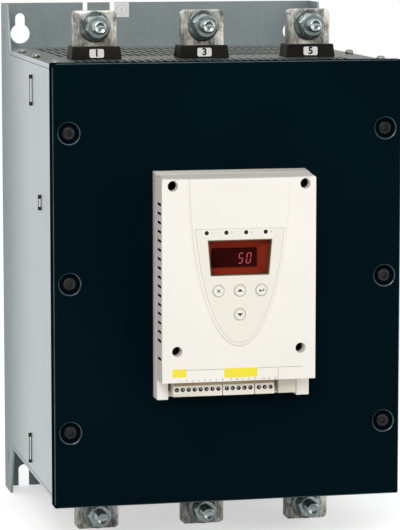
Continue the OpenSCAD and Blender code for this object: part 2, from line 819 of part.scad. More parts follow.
module shroud() {
  room_w = bar_w + 2 * shroud_gap;
  room_d = bar_t + 2 * shroud_gap;
  neck_w = room_w + 2 * shroud_neck_t;
  neck_d = room_d + 2 * shroud_neck_t;
  difference() {
    union() {
      tapered_block(shroud_w, shroud_d, shroud_h, shroud_taper);
      translate([-neck_w / 2, -neck_d / 2, -panel_t - shroud_neck_l])
        cube([neck_w, neck_d, panel_t + shroud_neck_l + shroud_h / 2]);
    }
    translate([-room_w / 2, -room_d / 2, -panel_t - shroud_neck_l - over])
      cube([room_w, room_d, panel_t + shroud_neck_l + shroud_h + 2 * over]);
  }
}

module line_shroud(phase) {
  color("#1e1c1a") translate([phase * phase_pitch, -bar_d + bar_t / 2, case_top]) shroud();
}

module load_shroud(phase) {
  color("#1e1c1a") translate([phase * phase_pitch, -bar_d + bar_t / 2, case_bottom])
    mirror([0, 0, 1]) shroud();
}

// Side view of a bar, in depth and Z above the case's centre: from its free end down to the
// foot that lies on a thyristor module's pad
module bar_profile(reach) {
  foot_low = pad_z - pad_w / 2;
  knee = pad_z + pad_w / 2;
  polygon([
    [bar_d, reach], [bar_d, knee], [pad_d + bar_t, knee], [pad_d + bar_t, foot_low],
    [pad_d, foot_low], [pad_d, knee + bar_t], [bar_d - bar_t, knee + bar_t], [bar_d - bar_t, reach]
  ]);
}

// Front view of a bar, with its free corners cut off
module bar_front(reach) {
  half = bar_w / 2;
  polygon([
    [-half, 0], [half, 0], [half, reach - bar_chamfer], [half - bar_chamfer, reach],
    [-half + bar_chamfer, reach], [-half, reach - bar_chamfer]
  ]);
}

module bar(reach) {
  difference() {
    union() {
      intersection() {
        sheet_yz(-bar_w / 2, bar_w / 2) bar_profile(reach);
        sheet_xz(pad_d - over, bar_d + over) bar_front(reach);
      }
      block(-tip_w / 2, tip_w / 2, bar_d - tip_t, bar_d + tip_t, tip_z - tip_h / 2, tip_z + tip_h / 2);
    }
    translate([0, 0, reach - bolt_drop])
      pin(bolt_d + 2 * screw_room, bar_d - bar_t - over, bar_d + over);
  }
}

module line_bar(phase) {
  color("#96948c") translate([phase * phase_pitch, 0, case_lift]) bar(plate_h / 2 - case_lift);
}

module load_bar(phase) {
  color("#96948c") translate([phase * phase_pitch, 0, case_lift]) mirror([0, 0, 1])
    bar(plate_h / 2 + case_lift);
}

// Places its children at each terminal bolt
module at_terminals() {
  for (phase = phases) for (s = [-1, 1]) translate([phase * phase_pitch, 0, s * bolt_z]) children();
}

// A hexagon prism given by its width across flats
module hexagon(af, d0, d1) {
  translate([0, -d0, 0]) rotate([90, 0, 0]) cylinder(d = af / cos(30), h = d1 - d0, $fn = 6);
}

module terminal_bolts() {
  tip_chamfer = bolt_d / 12;
  color("#c4d0d0") at_terminals() {
    hexagon(nut_af, bar_d - bar_t - bolt_head_h, bar_d - bar_t);
    pin(bolt_d, bar_d - bar_t - bolt_head_h, washer_front_d);
    pin(bolt_d * thread_share, bar_d, bolt_front_d - tip_chamfer);
    pin(bolt_d, washer_front_d + nut_h, bolt_front_d - tip_chamfer);
    translate([0, -bolt_front_d + tip_chamfer, 0]) rotate([90, 0, 0])
      cylinder(d1 = bolt_d, d2 = bolt_d - 2 * tip_chamfer, h = tip_chamfer);
  }
}

module terminal_nuts() {
  color("#c4d0d0") at_terminals() difference() {
    hexagon(nut_af, washer_front_d, washer_front_d + nut_h);
    pin(bolt_d * thread_share + 2 * thread_play, washer_front_d - over, washer_front_d + nut_h + over);
  }
}

module terminal_washers() {
  color("#b8c0c0") at_terminals() {
    difference() {
      pin(washer_d, bar_d, bar_d + washer_t);
      pin(bolt_d + 2 * screw_room, bar_d - over, bar_d + washer_t + over);
    }
    difference() {
      pin(spring_washer_d, bar_d + washer_t, washer_front_d);
      pin(bolt_d + 2 * screw_room, bar_d, washer_front_d + over);
      block(0, spring_washer_d, bar_d, washer_front_d + over, 0, spring_washer_t / 2);
    }
  }
}

// Power stack

module heat_sink() {
  color("#a8adb0") translate([0, 0, sink_low]) linear_extrude(sink_high - sink_low) {
    translate([-sink_w / 2, -sink_front_d]) square([sink_w, sink_base_t]);
    for (i = [0 : fin_count - 1])
      translate([(i - (fin_count - 1) / 2) * fin_pitch - fin_t / 2, -sink_front_d])
        square([fin_t, sink_base_t + fin_d]);
  }
}

module thyristor(phase) {
  x = phase * phase_pitch;
  shoulder_share = 0.3;
  waist_share = 0.84;
  color("#2c2c2e") {
    block(x - thyristor_w / 2, x + thyristor_w / 2, sink_front_d,
          sink_front_d + thyristor_d * shoulder_share,
          case_lift - thyristor_h / 2, case_lift + thyristor_h / 2);
    block(x - thyristor_w / 2 * waist_share, x + thyristor_w / 2 * waist_share,
          sink_front_d, sink_front_d + thyristor_d,
          case_lift - thyristor_h / 2 * waist_share, case_lift + thyristor_h / 2 * waist_share);
    for (s = [-1, 1]) block(x - pad_w / 2, x + pad_w / 2, pad_d - 2 * pad_h, pad_d,
                            case_lift + s * pad_z - pad_w / 2, case_lift + s * pad_z + pad_w / 2);
  }
}

module current_transformer(phase) {
  x = phase * phase_pitch;
  room_w = bar_w + 2 * shroud_gap;
  z = case_lift - transformer_drop;
  color("#20242a") difference() {
    block(x - transformer_w / 2, x + transformer_w / 2, bar_d - bar_t - transformer_wall,
          bar_d + transformer_wall, z - transformer_h / 2, z + transformer_h / 2);
    block(x - room_w / 2, x + room_w / 2, bar_d - bar_t - shroud_gap, bar_d + shroud_gap,
          z - transformer_h / 2 - over, z + transformer_h / 2 + over);
  }
}

// Fans

module fan_frame(side) {
  spokes = 4;
  corner = (fan_w - fan_hole_d) / 2 - fan_rim;
  color("#202020") translate([side * fan_x, -fan_d, fan_bottom]) {
    difference() {
      translate([-fan_w / 2, -fan_w / 2, 0]) cube([fan_w, fan_w, fan_h]);
      translate([0, 0, -over]) cylinder(d = fan_duct_d, h = fan_h + 2 * over);
      for (s = [-1, 1]) for (t = [-1, 1]) translate([s * corner, t * corner, -over])
        cylinder(d = fan_hole_d, h = fan_h + 2 * over);
    }
    difference() {
      union() {
        cylinder(d = hub_d - 2 * blade_t, h = motor_plate_h);
        for (i = [0 : spokes - 1]) rotate(45 + i * 360 / spokes) translate([0, -spoke_w / 2, 0])
          cube([(fan_duct_d + fan_rim) / 2, spoke_w, motor_plate_h]);
      }
      translate([0, 0, -over])
        cylinder(d = fan_shaft_d + 2 * thread_play, h = motor_plate_h + 2 * over);
    }
  }
}

module fan_rotor(side) {
  blades = 7;
  hub_low = motor_plate_h + blade_gap;
  hub_h = fan_h - hub_low - blade_gap;
  blade_d = fan_duct_d - 2 * blade_gap;
  blade_l_share = 0.8;
  blade_l = hub_h / cos(blade_lean) * blade_l_share;
  shaft_low = motor_plate_h / 4;
  color("#2a2a2a") translate([side * fan_x, -fan_d, fan_bottom]) {
    translate([0, 0, shaft_low]) cylinder(d = fan_shaft_d, h = hub_low + hub_h / 2 - shaft_low);
    translate([0, 0, hub_low]) cylinder(d = hub_d, h = hub_h);
    intersection() {
      translate([0, 0, hub_low]) cylinder(d = blade_d, h = hub_h);
      for (i = [0 : blades - 1]) rotate(i * 360 / blades)
        translate([hub_d / 4, 0, hub_low + hub_h / 2]) rotate([blade_lean, 0, 0])
          translate([0, -blade_t / 2, -blade_l / 2]) cube([blade_d / 2, blade_t, blade_l]);
    }
  }
}

// Board tray and bypass contactor

module board_tray() {
  x = inner_x - panel_gap;
  low = case_lift - tray_h / 2;
  high = case_lift + tray_h / 2;
  hook_room = panel_gap;
  hook_mid_d = tray_d - tray_flange_d / 2;
  color("#b9bfbf") {
    block(-x, x, tray_d, tray_d + tray_t, low, high);
    for (s = [-1, 1]) {
      block(min(s * x, s * (x - tray_t)), max(s * x, s * (x - tray_t)),
            tray_d - tray_flange_d, tray_d + tray_t, low, high);
      for (share = tray_hook_shares)
        block(min(s * (x - tray_t), s * case_w / 2), max(s * (x - tray_t), s * case_w / 2),
              hook_mid_d - side_slot_w / 2 + hook_room, hook_mid_d + side_slot_w / 2 - hook_room,
              case_lift + share * case_h - side_slot_short / 2 + hook_room,
              case_lift + share * case_h + side_slot_short / 2 - hook_room);
      for (t = [-1, 1]) translate([s * (power_board_w / 2 - post_inset), 0,
                                   case_lift + t * (power_board_h / 2 - post_inset)])
        pin(post_d, tray_d, power_board_d);
    }
  }
}

module magnet_bracket() {
  foot_w = 2 * bracket_t;
  low = case_lift - core_h / 2;
  high = case_lift + core_h / 2;
  slot_w = rod_w + 2 * screw_room;
  color("#9da3a5") difference() {
    union() {
      block(-bracket_x, bracket_x, bracket_back_d, core_back_d, low, high);
      for (s = [-1, 1]) {
        leg = s * bracket_x;
        leg_in = s * (bracket_x - bracket_t);
        foot = s * (bracket_x + foot_w);
        block(min(leg, leg_in), max(leg, leg_in), bracket_back_d, tray_d, low, high);
        block(min(leg_in, foot), max(leg_in, foot), tray_d - bracket_t, tray_d, low, high);
      }
    }
    for (s = [-1, 1]) block(s * rod_x - slot_w / 2, s * rod_x + slot_w / 2,
                            bracket_back_d - over, core_back_d + over,
                            case_lift - slot_w / 2, case_lift + slot_w / 2);
  }
}

// Laminated core with a back, two outer legs and a middle leg twice as thick
module magnet_core() {
  low = case_lift - core_h / 2;
  high = case_lift + core_h / 2;
  color("#6c7074") {
    block(-core_w / 2, core_w / 2, core_back_d, core_back_d + core_leg, low, high);
    block(-core_leg, core_leg, core_back_d, core_front_d, low, high);
    for (s = [-1, 1]) {
      outer = s * core_w / 2;
      inner = s * (core_w / 2 - core_leg);
      block(min(inner, outer), max(inner, outer), core_back_d, core_front_d, low, high);
    }
  }
}

module magnet_coil() {
  inner_x_room = core_leg + screw_room;
  outer_x_room = core_w / 2 - core_leg - screw_room;
  wall = outer_x_room - inner_x_room;
  back_d = core_back_d + core_leg;
  front_d = core_front_d - coil_drop;
  color("#8a4a20") difference() {
    block(-outer_x_room, outer_x_room, back_d, front_d,
          case_lift - core_h / 2 - wall, case_lift + core_h / 2 + wall);
    block(-inner_x_room, inner_x_room, back_d - over, front_d + over,
          case_lift - core_h / 2 - screw_room, case_lift + core_h / 2 + screw_room);
  }
}

// Moulded carrier: a crossbeam behind the magnet and two rods that reach past it to the armature
module contact_carrier() {
  beam_x = phase_pitch + bridge_w / 2 + beam_over;
  color("#7a2c22") {
    block(-beam_x, beam_x, beam_back_d, beam_front_d, case_lift - beam_h / 2, case_lift + beam_h / 2);
    for (s = [-1, 1]) block(s * rod_x - rod_w / 2, s * rod_x + rod_w / 2,
                            beam_back_d, armature_front_d,
                            case_lift - rod_w / 2, case_lift + rod_w / 2);
  }
}

module bridge_contacts() {
  reach = tip_z + tip_h / 2;
  color("#b87b4b") for (phase = phases) {
    x = phase * phase_pitch;
    block(x - bridge_w / 2, x + bridge_w / 2, tip_rest_d, beam_back_d,
          case_lift - reach, case_lift + reach);
    for (s = [-1, 1]) block(x - tip_w / 2, x + tip_w / 2, tip_rest_d - tip_t, beam_back_d,
                            case_lift + s * tip_z - tip_h / 2, case_lift + s * tip_z + tip_h / 2);
  }
}

module armature() {
  x = rod_x - rod_w / 2;
  color("#6c7074") block(-x, x, armature_back_d, armature_front_d,
                         case_lift - core_h / 2, case_lift + core_h / 2);
}

module power_board() {
  color("#1f5a34") block(-power_board_w / 2, power_board_w / 2, power_board_d, power_board_d + board_t,
                         case_lift - power_board_h / 2, case_lift + power_board_h / 2);
}

module supply_transformer() {
  x = power_board_w / 4;
  z = case_lift + power_board_h / 4;
  color("#d6b23a") block(x - supply_w / 2, x + supply_w / 2,
                         power_board_d + board_t, power_board_d + board_t + supply_h,
                         z - supply_w / 2, z + supply_w / 2);
}

// Control module

// Side outline of the module between two depths, in depth and Z, with its sloping top
module module_profile(d0, d1, low, inset) {
  polygon([
    [d0, low], [d1, low],
    [d1, module_top - inset - fall_share * (d1 - cover_d)],
    [d0, module_top - inset - fall_share * (d0 - cover_d)]
  ]);
}

module module_base() {
  in_x = module_x - module_wall;
  in_low = module_bottom + module_wall;
  back_d = cover_d + module_wall;
  board_back_d = control_board_front_d - board_t;
  color("#f3f0e8") difference() {
    union() {
      difference() {
        sheet_yz(-module_x, module_x) module_profile(cover_d, base_front_d, module_bottom, 0);
        sheet_yz(-in_x, in_x)
          module_profile(back_d, base_front_d + over, in_low, module_wall);
      }
      block(-module_x + module_wall / 2, -module_x + post_left_w, back_d - over, base_front_d,
            module_bottom + module_wall / 2, shell_bottom);
      block(module_x - post_right_w, module_x - module_wall / 2, back_d - over, base_front_d,
            module_bottom + module_wall / 2, shell_bottom);
      for (place = screw_places) translate([place[0], 0, place[1]])
        pin(screw_well_d, cover_d + module_wall / 2, cover_d + screw_well_floor_d - module_wall);
      for (place = board_post_places) translate([place[0], 0, place[1]])
        pin(post_d, cover_d + module_wall / 2, board_back_d);
    }
    for (place = screw_places) translate([place[0], 0, place[1]])
      pin(module_screw_d + 2 * screw_room, cover_d - over, base_front_d);
    block(-module_x + post_left_w, module_x - post_right_w, back_d, base_front_d + over,
          module_bottom - over, in_low + over);
    cable_window(cover_d - over, back_d + over);
  }
}

// Places of the posts that carry the control board
board_post_places = [
  for (s = [-1, 1]) for (t = [-1, 1])
    [s * module_w / 4, (module_top + shell_bottom) / 2 + t * module_h / 4]
];

// Outline of the shield in X and Z, drawn in by an inset
module shield_outline(inset, top) {
  steps = 24;
  length = shield_l - inset;
  half = shield_w / 2 - inset;
  right = [for (i = [0 : steps]) let (angle = 90 * i / steps)
    [half * cos(angle), module_top - length * sin(angle)]];
  left = [for (i = [1 : steps]) [-right[steps - i][0], right[steps - i][1]]];
  intersection() {
    polygon(concat(right, left));
    translate([-module_x, module_top - 2 * module_h]) square([module_w, 2 * module_h - (module_top - top)]);
  }
}

module display_outline(lap) {
  half = display_w / 2 + lap;
  polygon([
    [-half, display_z + display_h / 2 + lap], [half, display_z + display_h / 2 + lap],
    [half - display_taper, display_z - display_h / 2 - lap],
    [-half + display_taper, display_z - display_h / 2 - lap]
  ]);
}

led_places = [for (i = [0 : 3]) [-led_x + (i - 1.5) * led_pitch, led_z]];
key_places = [[-key_x, key_z], [0, key_z], [key_x, key_z], [0, key_z - key_step]];

// Air slots along one side of the shell, the last one set apart
module shell_vents(side) {
  mid_d = base_front_d + (shell_d - module_wall) / 2;
  outer = side * (module_x + over);
  inner = side * (module_x - module_wall - over);
  for (step = [0 : side_vent_steps]) if (step != side_vent_steps - 1) {
    z = module_top - side_vent_drop - step * side_vent_pitch;
    block(min(inner, outer), max(inner, outer), mid_d - side_vent_l / 2, mid_d + side_vent_l / 2,
          z - side_vent_h / 2, z + side_vent_h / 2);
  }
}

module module_shell() {
  in_x = module_x - module_wall;
  floor_d = cover_d + screw_well_floor_d;
  post_back_d = display_board_front_d;
  well_outer_d = screw_well_d + 2 * screw_well_wall;
  color("#f5f2ea") difference() {
    union() {
      difference() {
        union() {
          sheet_yz(-module_x, module_x)
            module_profile(base_front_d, shell_front_d, shell_bottom, 0);
          intersection() {
            sheet_xz(shell_front_d - over, shield_front_d) shield_outline(0, module_top);
            sheet_yz(-module_x, module_x)
              module_profile(base_front_d, shield_front_d, shell_bottom, 0);
          }
        }
        sheet_yz(-in_x, in_x)
          module_profile(base_front_d - over, shell_inner_d, shell_bottom + module_wall, module_wall);
      }
      for (place = screw_places) translate([place[0], 0, place[1]])
        pin(well_outer_d, floor_d - module_wall, shell_inner_d + module_wall / 2);
      for (place = display_post_places) translate([place[0], 0, place[1]])
        pin(post_d, post_back_d, shell_inner_d + module_wall / 2);
    }
    for (place = screw_places) translate([place[0], 0, place[1]]) {
      pin(screw_well_d, floor_d, shield_front_d + over);
      pin(module_screw_d + 2 * screw_room, floor_d - module_wall - over, floor_d + over);
    }
    sheet_xz(shell_inner_d - over, shield_front_d + over) display_outline(0);
    for (place = led_places) translate([place[0], 0, place[1]])
      pin(led_d + 2 * key_gap, shell_inner_d - over, shield_front_d + over);
    for (place = key_places) translate([place[0], 0, place[1]])
      pin(key_d + 2 * key_gap, shell_inner_d - over, shield_front_d + over);
    for (side = [-1, 1]) shell_vents(side);
  }
}

// Places of the posts that carry the display board
display_post_places = [
  for (s = [-1, 1]) [s * (display_w / 2 + post_d), display_z + display_h / 4],
  for (s = [-1, 1]) [s * (key_x + key_d), key_z - key_step]
];

module control_board() {
  in_x = module_x - module_wall - 2 * screw_well_wall;
  color("#1f5a34") difference() {
    block(-in_x, in_x, control_board_front_d - board_t, control_board_front_d,
          shell_bottom - plug_h, module_top - top_fall - 2 * module_wall);
    for (place = screw_places) translate([place[0], 0, place[1]])
      pin(screw_well_d + 2 * screw_well_wall + 2 * over,
          control_board_front_d - board_t - over, control_board_front_d + over);
    block(-module_x, -module_x + post_left_w + shroud_gap, cover_d, base_front_d,
          module_bottom, shell_bottom + shroud_gap);
    block(module_x - post_right_w - shroud_gap, module_x, cover_d, base_front_d,
          module_bottom, shell_bottom + shroud_gap);
  }
}

module display_board() {
  half = display_w / 2 + post_d + post_inset / 2;
  color("#1f5a34") block(-half, half, display_board_front_d - board_t, display_board_front_d,
                         key_z - key_step - key_d, led_z + key_d);
}

module display_block() {
  z = display_z - digits_drop;
  color("#1a0f0d") block(-digits_x - digits_w / 2, -digits_x + digits_w / 2,
                         display_board_front_d, display_board_front_d + digits_d,
                         z - digits_h / 2, z + digits_h / 2);
}

module display_window() {
  color("#8c2416") sheet_xz(window_front_d - window_t, window_front_d) display_outline(window_lap);
}

module keypad_film() {
  color("#f7f5ef") sheet_xz(shield_front_d, shield_front_d + film_t) difference() {
    shield_outline(film_inset, film_z);
    display_outline(0);
    for (place = led_places) translate(place) circle(d = led_d + 2 * key_gap);
    for (place = key_places) translate(place) circle(d = key_d + 2 * key_gap);
  }
}

module status_leds() {
  color("#141414") for (place = led_places) translate([place[0], 0, place[1]])
    pin(led_d, display_board_front_d, shield_front_d + film_t);
}

module key_switches() {
  color("#2b2b2b") for (place = key_places) translate([place[0], 0, place[1]])
    block(-switch_w / 2, switch_w / 2, display_board_front_d, switch_front_d,
          -switch_w / 2, switch_w / 2);
}

// A key with a rim that the shell holds, and a stem that reaches its switch
module key_cap(place) {
  stem_back_d = switch_front_d + key_travel + key_gap;
  rim_front_d = shell_inner_d - key_gap;
  color("#efece4") translate([place[0], 0, place[1]]) {
    pin(key_d, rim_front_d - key_rim, key_rest_d);
    pin(key_d + 2 * key_rim, rim_front_d - key_rim, rim_front_d);
    pin(key_d / 2, stem_back_d, rim_front_d);
  }
}

// Control terminals

// A plug-in terminal block with its clamp screws in front and wire entries below
module plug(x, ways) {
  w = ways * way_pitch + 2 * plug_end;
  back_d = control_board_front_d;
  front_d = back_d + plug_d;
  screw_depth = clamp_d / 3;
  color("#eceadf") difference() {
    block(x, x + w, back_d, front_d, plug_top - plug_h, plug_top);
    for (i = [0 : ways - 1])
      translate([x + plug_end + (i + 0.5) * way_pitch, 0, plug_top - plug_h / 2]) {
      pin(clamp_d, front_d - screw_depth, front_d + over);
      block(-entry_w / 2, entry_w / 2, front_d - entry_l, front_d - screw_depth - over,
            -plug_h, -plug_h / 4);
    }
  }
}

// The network socket, which opens downward
module comm_socket() {
  back_d = control_board_front_d;
  front_d = back_d + socket_d;
  low = plug_top - plug_h;
  color("#e6dfd0") difference() {
    block(socket_x - socket_w / 2, socket_x + socket_w / 2, back_d, front_d, low, plug_top);
    block(socket_x - socket_open_w / 2, socket_x + socket_open_w / 2,
          front_d - module_wall - socket_open_h, front_d - module_wall,
          low - over, plug_top - module_wall);
  }
}

module module_screws() {
  floor_d = cover_d + screw_well_floor_d;
  recess_share = 0.5;
  color("#9aa0a0") for (place = screw_places) translate([place[0], 0, place[1]]) difference() {
    union() {
      pin(module_screw_head_d, floor_d, floor_d + module_screw_head_h);
      pin(module_screw_d, cover_d - cover_t - boss_d, floor_d);
    }
    rotate([90, 0, 0]) translate([0, 0, floor_d + module_screw_head_h * recess_share])
      cylinder(d = module_screw_head_d * recess_share, h = module_screw_head_h, $fn = 6);
  }
}

// Flat cable between the two boards, with a plug at each end
module link_cable() {
  back_d = power_board_d + board_t;
  front_d = control_board_front_d - board_t;
  ends = [[back_d, back_d + cable_plug_d], [front_d - cable_plug_d, front_d]];
  color("#8f949a") {
    for (end = ends) block(-cable_w / 2, cable_w / 2, end[0], end[1],
                           cable_z - cable_plug_h / 2, cable_z + cable_plug_h / 2);
    block(-cable_w / 2, cable_w / 2, back_d, front_d,
          cable_z - cable_t / 2, cable_z + cable_t / 2);
  }
}

chassis();
top_panel();
bottom_panel();
front_cover();
cover_screws();
panel_screws();
line_shroud(phases[0]);  // line_shroud_1
line_shroud(phases[1]);  // line_shroud_2
line_shroud(phases[2]);  // line_shroud_3
load_shroud(phases[0]);  // load_shroud_1
load_shroud(phases[1]);  // load_shroud_2
load_shroud(phases[2]);  // load_shroud_3
line_bar(phases[0]);  // line_bar_1
line_bar(phases[1]);  // line_bar_2
line_bar(phases[2]);  // line_bar_3
load_bar(phases[0]);  // load_bar_1
load_bar(phases[1]);  // load_bar_2
load_bar(phases[2]);  // load_bar_3
terminal_bolts();
terminal_nuts();
terminal_washers();
heat_sink();
thyristor(phases[0]);  // thyristor_1
thyristor(phases[1]);  // thyristor_2
thyristor(phases[2]);  // thyristor_3
fan_frame(-1);  // fan_frame_1
fan_frame(1);  // fan_frame_2
fan_rotor(-1);  // fan_rotor_1
fan_rotor(1);  // fan_rotor_2
current_transformer(phases[0]);  // current_transformer_1
current_transformer(phases[1]);  // current_transformer_2
current_transformer(phases[2]);  // current_transformer_3
board_tray();
magnet_bracket();
magnet_core();
magnet_coil();
contact_carrier();
bridge_contacts();
armature();
power_board();
supply_transformer();
module_base();
module_shell();
control_board();
display_board();
display_block();
display_window();
keypad_film();
status_leds();
key_switches();
key_cap(key_places[0]);  // key_escape
key_cap(key_places[1]);  // key_up
key_cap(key_places[2]);  // key_enter
key_cap(key_places[3]);  // key_down
plug(plug_8_x, plug_ways[0]);  // plug_8_way
plug(plug_5_x, plug_ways[1]);  // plug_5_way
plug(plug_3_x, plug_ways[2]);  // plug_3_way
comm_socket();
module_screws();
link_cable();
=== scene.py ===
# Soft starter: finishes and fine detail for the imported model.
# Sizes are in millimetres. A depth d is measured forward from the rear face, so it lies at y = -d.
import json
import math

import bmesh
import bpy
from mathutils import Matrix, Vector
from mathutils.geometry import tessellate_polygon


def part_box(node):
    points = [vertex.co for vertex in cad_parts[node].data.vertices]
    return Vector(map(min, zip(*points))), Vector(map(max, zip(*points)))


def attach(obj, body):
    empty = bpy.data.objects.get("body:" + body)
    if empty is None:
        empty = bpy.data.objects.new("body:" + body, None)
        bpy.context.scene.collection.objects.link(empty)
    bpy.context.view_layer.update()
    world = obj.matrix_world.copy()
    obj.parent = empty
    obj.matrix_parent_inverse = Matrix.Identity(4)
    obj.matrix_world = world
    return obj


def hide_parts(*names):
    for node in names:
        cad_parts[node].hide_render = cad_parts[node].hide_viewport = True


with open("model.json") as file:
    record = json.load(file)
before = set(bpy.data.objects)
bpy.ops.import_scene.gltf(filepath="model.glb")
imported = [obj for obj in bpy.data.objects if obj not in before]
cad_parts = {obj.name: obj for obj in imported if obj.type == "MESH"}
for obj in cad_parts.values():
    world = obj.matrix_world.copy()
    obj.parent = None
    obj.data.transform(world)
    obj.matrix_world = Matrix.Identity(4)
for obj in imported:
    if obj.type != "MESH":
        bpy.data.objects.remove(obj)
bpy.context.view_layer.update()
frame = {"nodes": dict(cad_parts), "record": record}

MM = 0.001
scene = bpy.context.scene


def at(x, d, z):
    return Vector((x * MM, -d * MM, z * MM))


class Span:
    """A node's box in millimetres."""

    def __init__(self, node):
        low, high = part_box(node)
        self.x0, self.x1 = round(low.x / MM, 3), round(high.x / MM, 3)
        self.d0, self.d1 = round(-high.y / MM, 3), round(-low.y / MM, 3)
        self.z0, self.z1 = round(low.z / MM, 3), round(high.z / MM, 3)
        self.x, self.z = (self.x0 + self.x1) / 2, (self.z0 + self.z1) / 2


def rgb(red, green, blue):
    """A colour as a screen shows it, 0 to 255, in the values that shaders use."""
    return tuple(
        v / 255 / 12.92 if v <= 10 else ((v / 255 + 0.055) / 1.055) ** 2.4
        for v in (red, green, blue)
    ) + (1.0,)


def link(name, data):
    """A new object in the scene."""
    made = bpy.data.objects.new(name, data)
    scene.collection.objects.link(made)
    return made


def dimmed(colour, share):
    return tuple(v * share for v in colour[:3]) + (1.0,)


# Camera, at the photograph's viewing angle

CAMERA_PLACE = (-0.528, -2.5779, 0.32298)
CAMERA_YAW = 0.21729
CAMERA_PITCH = 0.13006
CAMERA_LENS = 190.12

camera = link("camera", bpy.data.cameras.new("camera"))
camera.data.sensor_width = 36
camera.data.lens = CAMERA_LENS
camera.data.clip_start = 0.05
camera.data.clip_end = 50
camera.location = CAMERA_PLACE
camera.rotation_euler = (math.pi / 2 - CAMERA_PITCH, 0, -CAMERA_YAW)
scene.camera = camera


# Nodes


class Value:
    """A value in a node tree, on which Python's operators add Math nodes."""

    def __init__(self, owner, socket):
        self.owner, self.socket = owner, socket

    def math(self, operation, *parts):
        return self.owner.node(
            "ShaderNodeMath", {"operation": operation}, dict(enumerate(parts))
        )

    def __add__(self, other):
        return self.math("ADD", self, other)

    def __sub__(self, other):
        return self.math("SUBTRACT", self, other)

    def __rsub__(self, other):
        return self.math("SUBTRACT", other, self)

    def __mul__(self, other):
        return self.math("MULTIPLY", self, other)

    def __gt__(self, other):
        return self.math("GREATER_THAN", self, other)

    def __abs__(self):
        return self.math("ABSOLUTE", self)

    def top(self, other):
        return self.math("MAXIMUM", self, other)

    def ramp(self, low, high):
        """0 below low, 1 above high, and smooth between them."""
        return self.owner.node(
            "ShaderNodeMapRange",
            {"interpolation_type": "SMOOTHSTEP", "clamp": True},
            {"Value": self, "From Min": low, "From Max": high},
        )


class Nodes:
    """A node tree; node() adds any node, with its settings first and then its sockets."""

    tree = None

    def node(self, kind, settings=None, sockets=None, output=0):
        made = self.tree.nodes.new(kind)
        for key, value in (settings or {}).items():
            setattr(made, key, value)
        for key, value in (sockets or {}).items():
            if isinstance(value, Value):
                self.tree.links.new(value.socket, made.inputs[key])
            else:
                made.inputs[key].default_value = value
        return Value(self, made.outputs[output]) if len(made.outputs) else None

    def read(self, value, output):
        """Another output of the node that a value comes from."""
        return Value(self, value.socket.node.outputs[output])


class Finish(Nodes):
    """A material for one of the object's finishes."""

    def __init__(self, name):
        self.material = bpy.data.materials.new(name)
        self.material.use_nodes = True
        self.tree = self.material.node_tree
        self.tree.nodes.clear()
        self.place = self.node("ShaderNodeTexCoord", output="Object")

    def axes(self):
        split = self.node("ShaderNodeSeparateXYZ", {}, {"Vector": self.place})
        return [self.read(split, axis) for axis in "XYZ"]

    def grid(self, sizes):
        """The place counted in cells of the given sizes."""
        scale = tuple(1 / (size * MM) for size in sizes)
        return self.node(
            "ShaderNodeVectorMath", {"operation": "MULTIPLY"}, {0: self.place, 1: scale}
        )

    def noise(self, sizes, detail=3.0, roughness=0.55):
        """Noise whose features have the given sizes along X, Y and Z."""
        sizes = sizes if isinstance(sizes, tuple) else (sizes,) * 3
        return self.node(
            "ShaderNodeTexNoise",
            {},
            {"Vector": self.grid(sizes), "Scale": 1.0, "Detail": detail, "Roughness": roughness},
        )

    def cells(self, size, blur=0.35):
        """A random value for each crystal of the given size, with wavering borders."""
        waver = self.node(
            "ShaderNodeTexNoise",
            {},
            {"Vector": self.grid((size / 2,) * 3), "Scale": 1.0, "Detail": 2.0},
            "Color",
        )
        shifted = self.node(
            "ShaderNodeVectorMath",
            {"operation": "MULTIPLY_ADD"},
            {0: waver, 1: (blur,) * 3, 2: self.grid((size,) * 3)},
        )
        cell = self.node(
            "ShaderNodeTexVoronoi", {}, {"Vector": shifted, "Scale": 1.0}, "Color"
        )
        split = self.node("ShaderNodeSeparateColor", {}, {"Color": cell})
        return split, self.read(split, "Green")

    def mix(self, factor, first, second):
        return self.node(
            "ShaderNodeMix", {"data_type": "RGBA"}, {0: factor, 6: first, 7: second}, 2
        )

    def bump(self, height, depth, strength=1.0):
        return self.node(
            "ShaderNodeBump", {}, {"Height": height, "Distance": depth * MM, "Strength": strength}
        )

    def done(self, **sockets):
        """Ends the tree in a Principled shader; a socket's name has _ for each space."""
        named = {key.replace("_", " "): value for key, value in sockets.items()}
        shader = self.node("ShaderNodeBsdfPrincipled", {}, named)
        self.node("ShaderNodeOutputMaterial", {}, {"Surface": shader})
        return self.material


SHEET_DEPTH = 293


def galvanised(name, dark, light, rear, roughness):
    """Zinc-coated sheet with a fine mottle, which grows rougher towards the rear, where its colour turns to a
    rear tone that is painted light and shade.
    """
    finish = Finish(name)
    crystal, second = finish.cells(2.6)
    streak = finish.noise((5, 5, 40), 4.0)
    patch = finish.noise(45, 3.0)
    tone = crystal * 0.2 + second * 0.12 + streak * 0.3 + patch * 0.45 - 0.05
    # painted light and shade: the colour runs along the depth from the front tones to the rear tone, standing
    # in for how the light falls on the sheet
    depth = finish.axes()[1] * (-1 / (SHEET_DEPTH * MM))
    sheet = finish.mix(tone.ramp(0.05, 0.95), dark, light)
    painted_rear_tone = finish.mix(tone.ramp(0.1, 0.9), dimmed(rear, 0.78), rear)
    grain = finish.noise(0.8, 2.0)
    return finish.done(
        Base_Color=finish.mix(depth.ramp(0.0, 0.62), painted_rear_tone, sheet),
        Metallic=0.8,
        Roughness=crystal * 0.06 + patch * 0.12 + (roughness + 0.1) - depth.ramp(0.0, 0.3) * 0.18,
        Normal=finish.bump(crystal * 0.4 + grain * 0.6, 0.02, 0.5),
    )


